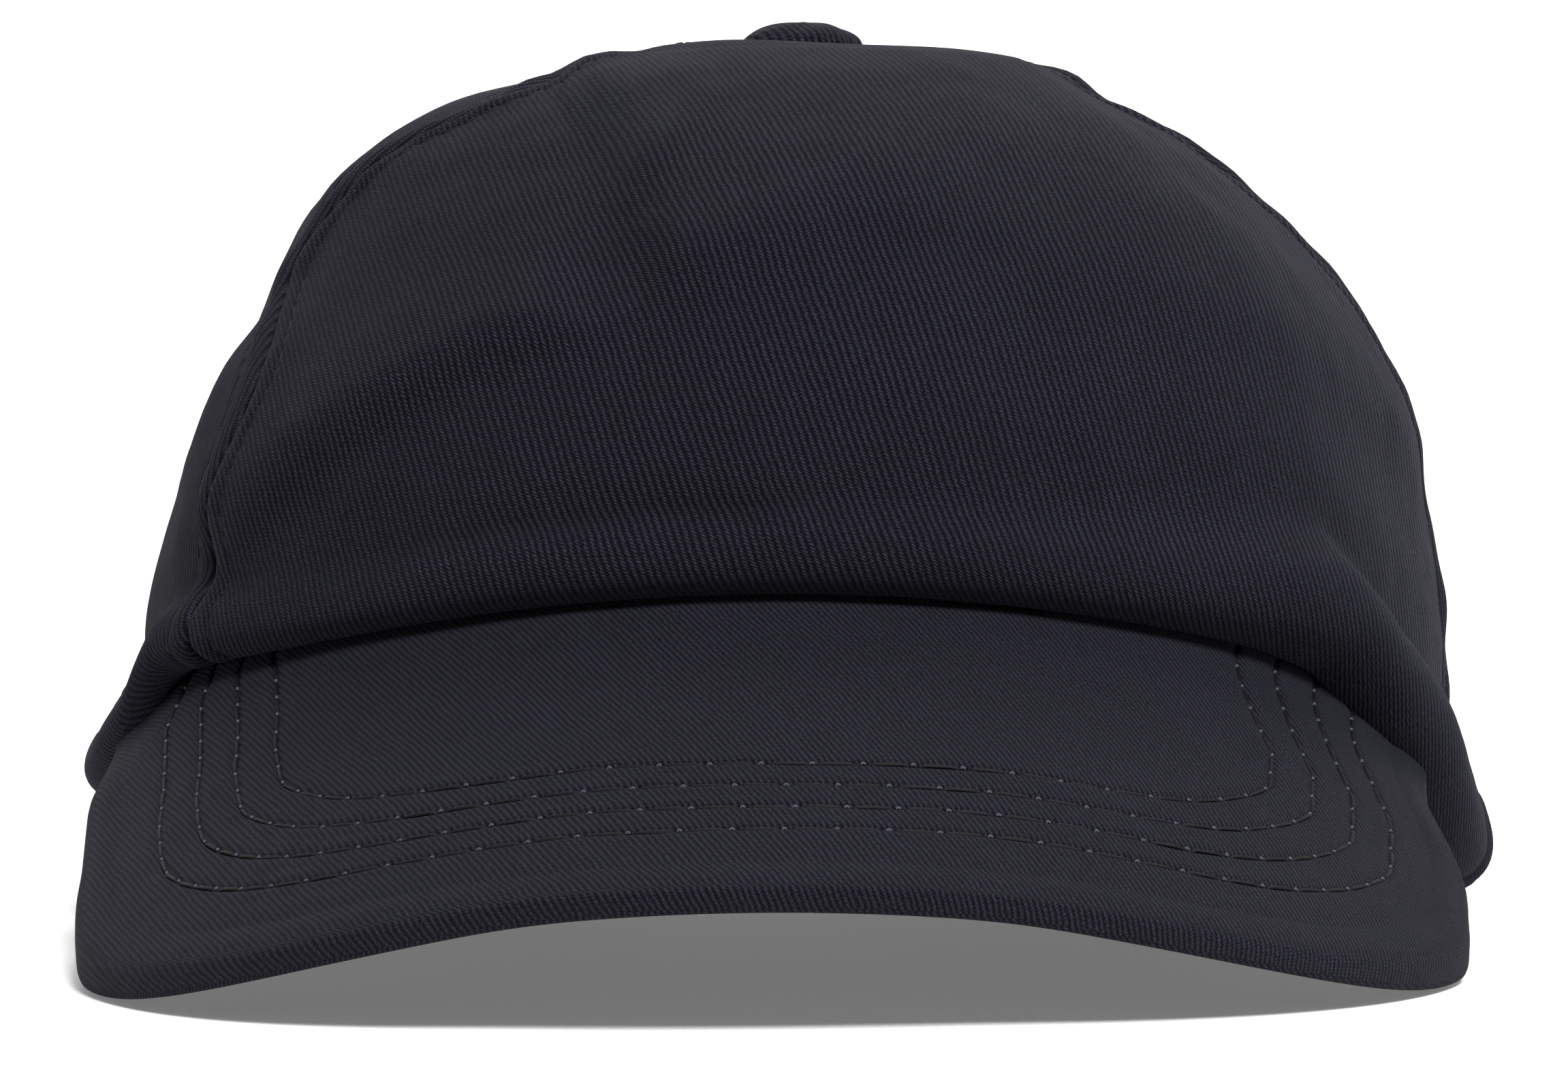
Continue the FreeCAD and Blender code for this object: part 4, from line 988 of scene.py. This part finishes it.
# the board between the two covers
_rows = np.concatenate([[1.9, 2.1, 2.6], np.arange(4.0, 84, 2.4)])
_dd = np.minimum(_rows[None, :], np.maximum(ROOT[:, None] - 0.4, 1.9))
_F = OUT_P[:, None] + _dd[..., None] * OUT_N[:, None]
_v, _f, _u = slab(visor_at(_F[..., 0], _F[..., 1], np.full(_dd.shape, -0.72)), visor_at(_F[..., 0], _F[..., 1], np.full(_dd.shape, -2.5)), _F)
board = build("visor_stiffener", _v, _f, _u, mats=[m_board], slot="visor_board_plastic", weld=0.004)
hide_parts("visor_board")

# four rows of lockstitch: long dark lengths sunk in the cloth, their dark colour partly painted shade of the trough
# they lie in, with a small pale piece at each hole as a painted highlight of the cloth bulging between stitches
visor_rows_mesh, hole_highlights = Bunch(), Bunch()
for level, side in ((0.0, 1), (-3.2, -1)):
    for row, c in enumerate(S_ROWS):
        off = nearer(np.array([c]))[:, 0]
        ok = ROOT > off + 0.8
        F = OUT_P[ok] + off[ok, None] * OUT_N[ok]
        P = visor_at(F[:, 0], F[:, 1], np.full(len(F), level))
        Nn = (visor_at(F[:, 0], F[:, 1], np.full(len(F), level + 1.0)) - P) * side
        Nn /= np.linalg.norm(Nn, axis=1, keepdims=True)
        P = P + Nn * -0.30
        stitches(visor_rows_mesh, P, Nn, pitch=5.7, fill=0.80, r=0.25, lift=0.06, sink=0.25, start=1.0 + 1.3 * row)
        if side > 0:
            total, read = along(P, Nn)
            x = 1.0 + 1.3 * row + 5.7 * 0.90
            while x < total - 1:
                C, M = read(np.array([x - 0.22, x, x + 0.22]))
                # pale piece at the needle hole: painted highlight of the cloth bulging between stitches
                hole_highlights.add(*tube_ring(C + M * np.array([0.0, 0.16, 0.0])[:, None], 0.17, 6, normals=M))
                x += 5.7
rows_ob = visor_rows_mesh.object("visor_stitching", mats=[m_thread], slot="sewing_thread", sharp=60)
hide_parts("visor_topstitching")
# the pale pieces at the holes are painted highlights of the bulging cloth
hole_highlights.object("visor_stitch_painted_highlights", mats=[m_hole_highlight], slot="sewing_thread", sharp=60)

# ---------------------------------------------------------------------------------------------
# inside pieces
# ---------------------------------------------------------------------------------------------


def band_point(phi, up, depth):
    """A point of the sweatband: up above the rim, depth in from the crown's unrolled face."""
    zl = rim_z(wrap(phi))
    z = zl + np.maximum(up, 0.3)
    a = a_at_height(phi, z)
    p, _ = crown(phi, a, rolled=0.0)
    rho = np.linalg.norm(p[..., :2], axis=-1)
    k = (rho - depth) / rho
    return np.stack([p[..., 0] * k, p[..., 1] * k, zl + up], -1)


def band_depth(phi, up):
    q = np.abs(np.degrees(wrap(phi)))
    front = 1.5 + 2.1 * (1 - smooth(up, 3, 11))
    return front + (4.8 - 1.5) * smooth(q, 102, 126) * 1.0


def band_foot(phi):
    q = np.abs(np.degrees(wrap(phi)))
    return -2.0 + 2.9 * smooth(q, 66, 84)


phi = np.linspace(-math.radians(153), math.radians(153), 330)
t = np.linspace(0, 1, 26)
PH, T_ = np.meshgrid(phi, t, indexing="ij")
UP = band_foot(PH) + (29.0 - band_foot(PH)) * T_
DP = band_depth(PH, UP)
# rounded top and bottom folds of the band's cloth
lip = np.minimum(T_, 1 - T_) * 29
Pb = band_point(PH, UP, DP + 0.25 * np.exp(-lip / 0.5))
Qb = band_point(PH, UP, DP + 0.9 - 0.25 * np.exp(-lip / 0.5))
uvb = np.stack([PH * 88.0, UP], -1)
v, f, u = slab(Pb, Qb, uvb)
band = build("sweatband_cloth", v, f, u, mats=[m_band], slot="sweatband_cotton", sharp=60)
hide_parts("sweatband")
band_rows = Bunch()
for up in (27.0, 3.4):
    P = band_point(phi, np.full(len(phi), up), band_depth(phi, np.full(len(phi), up)) + 0.9)
    Nn = -P * np.array([1.0, 1.0, 0.0])
    Nn /= np.linalg.norm(Nn, axis=1, keepdims=True)
    stitches(band_rows, P, Nn, pitch=3.2, r=0.18, lift=0.06, sink=0.2)
band_rows.object("sweatband_stitching", mats=[m_thread_top], slot="sewing_thread", sharp=60)

# woven tapes over the seams
tape_nodes = {"FL": "seam_tape_front_right", "FR": "seam_tape_front_left", "RL": "seam_tape_rear_left", "RR": "seam_tape_rear_right", "CB": "seam_tape_centre_back"}
for key, node in tape_nodes.items():
    a_hi = math.radians(80.5)
    probe = np.linspace(0.02, a_hi, 400)
    zz = crown_base(seam_phi(key, probe), probe)[:, 2]
    low = AH + 3.0 if key == "CB" else float(rim_z(np.array(seam_phi(key, np.array([0.0]))[0]))) + 30.2
    a_lo = float(np.interp(low, zz, probe))
    a = np.linspace(a_lo, a_hi, 120)
    w = np.linspace(-6.0, 6.0, 13)
    ph = seam_phi(key, a)
    rho = np.maximum(np.linalg.norm(crown_base(ph, a)[:, :2], axis=-1), 12.0)
    PH = ph[:, None] + w[None, :] / rho[:, None]
    AA = np.broadcast_to(a[:, None], PH.shape)
    edge = 0.15 * np.exp(-(6.0 - np.abs(w))[None, :] / 0.5) + 0.0 * PH
    P, _ = crown(PH, AA, sink=1.9)
    n = crown_normal(PH, AA)
    s = np.concatenate([[0], np.cumsum(np.linalg.norm(np.diff(P[:, 6], axis=0), axis=1))])
    UV = np.stack([np.broadcast_to(w[None, :], PH.shape), np.broadcast_to(s[:, None], PH.shape)], -1)
    v, f, u = slab(P - n * edge[..., None], P - n * (0.5 - edge)[..., None], UV)
    ob = build("tape_" + node[10:], v, f, u, mats=[m_tape], slot="seam_tape_cotton", sharp=60)
    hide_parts(node)

# care label: satin, stitched on to the band along its top edge
lp = math.radians(96.0)
ph = lp + np.linspace(-0.5, 0.5, 27) * 26.0 / 88.0
up = np.linspace(11.0, 28.0, 18)
PH, UU = np.meshgrid(ph, up, indexing="ij")
curl = 0.5 * (1 - smooth(UU, 11, 20)) * (0.6 + 0.4 * np.cos((PH - lp) * 16))
P = band_point(PH, UU, band_depth(PH, UU) + 1.05 + curl)
Q = band_point(PH, UU, band_depth(PH, UU) + 1.35 + curl)
m_label = twill("label_satin", 0, pitch=0.34, base=(0.62, 0.61, 0.58), contrast=0.25, bump=0.25, lint=0.0, fade=0.2, sheen=0.1)
v, f, u = slab(P, Q, np.stack([(PH - lp) * 88.0, UU], -1))
label = build("care_label_satin", v, f, u, mats=[m_label], slot="label_satin", sharp=60)
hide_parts("care_label")


# binding round the rear opening: a folded bias tape, with its edges sewn down
def back_point(x, z, depth):
    z = np.maximum(z, 0.36)
    y = np.full(np.shape(x), 85.0)
    for _ in range(24):
        phi = np.arctan2(x, -y)
        a = a_at_height(phi, z)
        r = np.linalg.norm(crown(phi, a)[0][..., :2], axis=-1)
        y = np.sqrt(np.maximum(r * r - x * x, 1.0))
    rho = np.hypot(x, y)
    k = (rho - depth) / rho
    return np.stack([x * k, y * k, z], -1)


t = np.linspace(0, 1, 151)
leg = 0.10
ang = np.clip((t - leg) / (1 - 2 * leg), 0, 1) * math.pi
bx = AW * np.cos(ang)
bz = 6 + (AH - 6) * np.sin(ang)
bz = np.where(t < leg, 1.6 + 4.4 * t / leg, np.where(t > 1 - leg, 1.6 + 4.4 * (1 - t) / leg, bz))
line = back_point(bx, bz, 0.35)
tan = np.gradient(line, axis=0)
tan /= np.linalg.norm(tan, axis=1, keepdims=True)
radial = line * np.array([1.0, 1.0, 0.0])
radial /= np.linalg.norm(radial, axis=1, keepdims=True)
inward = np.cross(tan, radial)
if inward[75][2] > 0:
    inward = -inward
# cross-section: a flattened loop that takes in both faces of the panel
sec = [(-2.6, 1.0), (-1.2, 1.15), (0.2, 1.15), (0.9, 0.85), (1.15, 0.0), (0.9, -0.95), (0.2, -1.25), (-1.2, -1.25), (-2.6, -1.1), (-2.75, -0.6), (-2.75, 0.5)]
rings, uvr = [], []
run = np.concatenate([[0], np.cumsum(np.linalg.norm(np.diff(line, axis=0), axis=1))])
per = np.concatenate([[0], np.cumsum(np.linalg.norm(np.diff(np.array(sec), axis=0), axis=1))])
for k, (i_, o_) in enumerate(sec):
    rings.append(line + inward * i_ + radial * o_ * (1 + 0.05 * ripple(line, 5, 11))[:, None])
    uvr.append(np.stack([run, np.full(len(run), per[k])], -1))
G = np.stack(rings, 1)
G[..., 2] = np.maximum(G[..., 2], 0.3)
nb, ns = G.shape[:2]
faces = quads(nb, ns, wrap_v=True).tolist() + [list(range(ns))[::-1], list(range((nb - 1) * ns, nb * ns))]
bind_ob = build("opening_binding", G.reshape(-1, 3), faces, np.stack(uvr, 1).reshape(-1, 2), mats=[m_bind], slot="binding_twill", sharp=50)
bm = bmesh.new(); bm.from_mesh(bind_ob.data); bmesh.ops.recalc_face_normals(bm, faces=bm.faces); bm.to_mesh(bind_ob.data); bm.free()
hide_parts("rear_arch_binding")
bind_rows = Bunch()
for side in (1, -1):
    stitches(bind_rows, line + inward * -1.9 + radial * side * 1.12, radial * side, pitch=2.7, r=0.17, lift=0.05, sink=0.2)
bind_rows.object("binding_stitching", mats=[m_thread_top], slot="sewing_thread", sharp=60)

# ---------------------------------------------------------------------------------------------
# strap, tab and buckle
# ---------------------------------------------------------------------------------------------


def strip(r_in, r_out, z0, z1, deg0, deg1, round_end=0.0, n=160):
    """Cloth strip lying on a cylinder about the cap's axis; angles anticlockwise from +X."""
    th = np.radians(np.linspace(deg0, deg1, n))
    zc, zh, rm, hh = (z0 + z1) / 2, (z1 - z0) / 2, (r_in + r_out) / 2, (r_out - r_in) / 2
    ts = np.linspace(-1, 1, 23)
    TH, TT_ = np.meshgrid(th, ts, indexing="ij")
    wave = 0.05 * ripple(np.stack([TH * 90, TT_ * 9, 0 * TH], -1), 7, 12)
    lipz = (1 - np.abs(TT_)) * zh
    dip = -0.16 * np.exp(-((lipz - 2.0) / 0.35) ** 2)
    h = hh * np.sqrt(np.clip(1 - np.exp(-lipz / 0.35) * 0.75, 0.2, 1)) + dip
    e = np.minimum(TH - th[0], th[-1] - TH) * rm
    z = zc + TT_ * zh
    o = np.stack([(rm + h + wave) * np.cos(TH), (rm + h + wave) * np.sin(TH), z], -1)
    i = np.stack([(rm - h + wave) * np.cos(TH), (rm - h + wave) * np.sin(TH), z], -1)
    return o, i, np.stack([TH * rm, z], -1)


o, i, uv = strip(89.2, 90.3, 3.3, 20.7, 53.2, 125.8)
v, f, u = slab(o, i, uv)
strap = build("strap_cloth", v, f, u, mats=[m_strap], slot="strap_twill", body="strap", sharp=60)
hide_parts("adjusting_strap")
strap_rows = Bunch()
for z in (5.3, 18.7):
    for r_, sgn in ((90.14, 1), (89.36, -1)):
        th = np.radians(np.linspace(53.8, 125.2, 260))
        P = np.stack([r_ * np.cos(th), r_ * np.sin(th), np.full(len(th), z)], -1)
        Nn = np.stack([np.cos(th), np.sin(th), 0 * th], -1) * sgn
        stitches(strap_rows, P, Nn, pitch=2.7, r=0.17, lift=0.02, sink=0.2)
strap_rows.object("strap_stitching", mats=[m_thread_top], slot="sewing_thread", body="strap", sharp=60)

# the tab: a strip that loops round the buckle's bar and is sewn to the panel
o, i, uv = strip(87.98, 88.95, 3.7, 20.3, 104.9, 122.9, n=60)
th = uv[:, 0, 0] / 88.465
loop = smooth(1.9 - (th - th[0]) * 88.5, 0, 1.2)
i = i - i * np.array([1.0, 1.0, 0.0]) / 88.0 * (0.62 * loop)[:, None, None]
v, f, u = slab(o, i, uv)
tab = build("tab_cloth", v, f, u, mats=[m_strap], slot="strap_twill", sharp=60)
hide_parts("buckle_tab")

for name, mat, slot in (("buckle_frame", m_brass, "buckle_metal"), ("buckle_pin", m_steel, "plated_steel"), ("clamp_lever", m_brass, "buckle_metal")):
    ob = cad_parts[name]
    ob.data.materials.clear()
    ob.data.materials.append(mat)
    bv = ob.modifiers.new("soft edges", "BEVEL")
    bv.width, bv.segments, bv.limit_method, bv.angle_limit = 0.00022, 3, "ANGLE", math.radians(35)
    bv.harden_normals = True

# ---------------------------------------------------------------------------------------------
# embroidered eyelets
# ---------------------------------------------------------------------------------------------
for key, (p, n) in EYE_FRAME.items():
    x = np.cross(n, [0, 0, 1.0]); x /= np.linalg.norm(x)
    y = np.cross(n, x)
    prof = np.array([(1.78, -1.55), (1.78, -0.2), (1.9, 0.28), (2.3, 0.62), (2.9, 0.78), (3.5, 0.66), (4.05, 0.34), (4.35, -0.05), (4.2, -0.5), (3.6, -0.7),
                     (2.6, -0.72), (2.5, -0.95), (3.4, -1.35), (3.9, -1.5), (3.6, -1.85), (2.8, -1.95), (2.1, -1.85)])
    m = 220
    ts = np.linspace(0, 2 * math.pi, m, endpoint=False)
    ridge = 0.075 * np.cos(ts * 44 + 0.35 * np.sin(ts * 7)) + 0.05 * np.sin(ts * 13 + 1) * 0.5
    dR = np.where(prof[:, 0] > 3.2, 1.6, 1.0)
    cen = np.array([3.05, -0.55])
    out = prof - cen
    out /= np.linalg.norm(out, axis=1, keepdims=True)
    R = prof[None, :, 0] + ridge[:, None] * out[None, :, 0] * dR[None, :]
    Z = prof[None, :, 1] + ridge[:, None] * out[None, :, 1]
    V = p + R[..., None] * (np.cos(ts)[:, None, None] * x + np.sin(ts)[:, None, None] * y) + Z[..., None] * n
    uv = np.stack([np.broadcast_to(np.cumsum(np.r_[0, np.linalg.norm(np.diff(prof, axis=0), axis=1)])[None, :], R.shape), np.broadcast_to((ts * 3.0)[:, None], R.shape)], -1)
    f = quads(m, len(prof), wrap_u=True, wrap_v=True)
    ob = build(key + "_embroidery", V.reshape(-1, 3), f, uv.reshape(-1, 2), mats=[m_eyelet], slot="eyelet_thread", sharp=80)
    bm = bmesh.new(); bm.from_mesh(ob.data); bmesh.ops.recalc_face_normals(bm, faces=bm.faces); bm.to_mesh(ob.data); bm.free()
    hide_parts(key)

# ---------------------------------------------------------------------------------------------
# top button: it leans with the crown, so it is turned again over the shifted apex
# ---------------------------------------------------------------------------------------------
APEX = np.array([3.4, 0.0])


def lathe(name, prof, mat, slot, node, relief=None, sides=96):
    prof = np.array(prof, float)
    ts = np.linspace(0, 2 * math.pi, sides, endpoint=False)
    R, Z = np.broadcast_to(prof[:, 0], (sides, len(prof))).copy(), np.broadcast_to(prof[:, 1], (sides, len(prof))).copy()
    if relief is not None:
        dr, dz = relief(ts[:, None], R, Z)
        R, Z = R + dr, Z + dz
    V = np.stack([APEX[0] + R * np.cos(ts)[:, None], APEX[1] + R * np.sin(ts)[:, None], Z], -1)
    uv = np.stack([V[..., 0], V[..., 1] + 0.0], -1)
    low = (prof[:, 1] < 113.6)[None, :] & (R > 6)
    uv = np.where(low[..., None], np.stack([ts[:, None] * 8.0 + 0 * R, Z], -1), uv)
    f = quads(sides, len(prof), wrap_u=True, wrap_v=True)
    ob = build(name, V.reshape(-1, 3), f, uv.reshape(-1, 2), mats=[mat], slot=slot, sharp=60, weld=0.003)
    bm = bmesh.new(); bm.from_mesh(ob.data); bmesh.ops.recalc_face_normals(bm, faces=bm.faces); bm.to_mesh(ob.data); bm.free()
    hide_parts(node)
    return ob


def dome(radius, z_top, z_low, n=20):
    t = np.linspace(0.0, math.pi / 2, n)
    return [(radius * math.sin(x) if x > 0 else 0.0, z_low + (z_top - z_low) * max(math.cos(x), 0.0) ** 0.8) for x in t]


def puckers(ts, R, Z):
    edge = smooth(R, 6.2, 8.1)
    w = 0.10 * np.cos(ts * 22 + 2 * np.sin(ts * 3)) * edge
    return w, 0.12 * np.sin(ts * 5 + R) * smooth(R, 0.5, 4) * (Z > 113.2) - 0.05


lathe("button_cloth", dome(8.2, 117.4, 113.3) + [(8.15, 113.0), (7.9, 112.8), (6.0, 112.85), (6.0, 113.3), (7.4, 113.35)] + dome(7.5, 116.8, 113.4, 14)[::-1], m_button, "button_twill", "button_cover", puckers)
lathe("button_cap_shell", dome(7.4, 116.5, 113.6, 14) + dome(6.9, 116.0, 113.6, 14)[::-1], m_steel, "plated_steel", "button_shell")
lathe("button_shank", [(0, 114.3), (5.8, 114.3), (5.8, 113.6), (1.5, 113.6), (1.5, 110.3), (2.6, 110.3), (2.6, 109.9), (0, 109.9)], m_steel, "plated_steel", "button_stud")
lathe("button_back_washer", [(1.6, 111.0), (6.5, 110.8), (6.5, 110.2), (1.6, 110.35)], m_steel, "plated_steel", "button_washer")

# ---------------------------------------------------------------------------------------------
# floor, light, camera
# ---------------------------------------------------------------------------------------------
scene = bpy.context.scene
me = bpy.data.meshes.new("floor")
pts, fs = [], []
prof = [(-6.0, 0.0), (2.2, 0.0)] + [(2.2 + 1.6 * math.sin(a), 1.6 - 1.6 * math.cos(a)) for a in np.linspace(0.1, math.pi / 2, 16)] + [(3.8, 6.0)]
for x in (-8.0, 8.0):
    pts += [(x, y, z) for y, z in prof]
for k in range(len(prof) - 1):
    fs.append((k, k + 1, k + 1 + len(prof), k + len(prof)))
me.from_pydata(pts, [], fs)
me.shade_smooth()
floor = bpy.data.objects.new("floor", me)
scene.collection.objects.link(floor)
g = Nodes("paper_sweep")
co = g.new("ShaderNodeTexCoord").outputs["Object"]
nz = g.noise(co, 900.0, 3.0)
g.link(g.ramp(nz, [(0.3, (0.90, 0.90, 0.90)), (0.7, (0.915, 0.915, 0.915))]), g.bsdf.inputs["Base Color"])
g.bsdf.inputs["Roughness"].default_value = 0.9
g.bsdf.inputs["Emission Color"].default_value = (1.0, 1.0, 1.0, 1)
g.bsdf.inputs["Emission Strength"].default_value = 0.16
g.bsdf.inputs["Specular IOR Level"].default_value = 0.1
me.materials.append(g.mat)

world = bpy.data.worlds.new("studio")
scene.world = world
world.use_nodes = True
world.node_tree.nodes["Background"].inputs["Color"].default_value = (1.0, 1.0, 1.0, 1)
world.node_tree.nodes["Background"].inputs["Strength"].default_value = 0.20


def area_light(name, loc, target, size, power, color=(1, 1, 1)):
    li = bpy.data.lights.new(name, "AREA")
    li.shape, li.size, li.size_y, li.energy, li.color = "RECTANGLE", size[0], size[1], power, color
    ob = bpy.data.objects.new(name, li)
    ob.location = loc
    ob.rotation_euler = (Vector(target) - Vector(loc)).to_track_quat("-Z", "Y").to_euler()
    scene.collection.objects.link(ob)
    return ob


area_light("key", (0.34, -1.15, 1.05), (0, -0.04, 0.05), (0.55, 0.4), 46.0)
area_light("fill_right", (1.3, -0.7, 0.9), (0, 0, 0.06), (0.7, 0.7), 2.0)
area_light("top_back", (0.1, 0.7, 1.3), (0, 0, 0.08), (1.2, 0.7), 7.0)
area_light("backdrop", (0.0, 1.4, 2.6), (0, 3.6, 0.9), (3.0, 0.8), 130.0)

cam_data = bpy.data.cameras.new("camera")
cam = bpy.data.objects.new("camera", cam_data)
scene.collection.objects.link(cam)
yaw, dip_, roll_ = math.radians(-0.601), math.radians(1.0), math.radians(0.4615)
c, s = math.cos(yaw), math.sin(yaw)
right = Vector((c, -s, 0.0))
fwd = Vector((s * math.cos(dip_), c * math.cos(dip_), -math.sin(dip_)))
up = right.cross(fwd)
r2 = math.cos(roll_) * right - math.sin(roll_) * up
u2 = math.sin(roll_) * right + math.cos(roll_) * up
M = Matrix(((r2.x, u2.x, -fwd.x, 0.00839), (r2.y, u2.y, -fwd.y, -0.7998), (r2.z, u2.z, -fwd.z, 0.07143), (0, 0, 0, 1)))
cam.matrix_world = M
cam_data.lens, cam_data.sensor_width, cam_data.sensor_fit = 138.87, 36.0, "HORIZONTAL"
cam_data.shift_x, cam_data.shift_y = 0.00352, -0.0432
cam_data.clip_start, cam_data.clip_end = 0.05, 30.0
cam_data.dof.use_dof = False
scene.camera = cam
scene.view_settings.view_transform = "Standard"
scene.view_settings.look = "None"
scene.view_settings.exposure = 0.0
scene.view_settings.gamma = 1.0

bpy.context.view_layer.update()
for k, h_ in HOLES.items():
    print("FLAT", k, [round(x, 1) for x in h_])
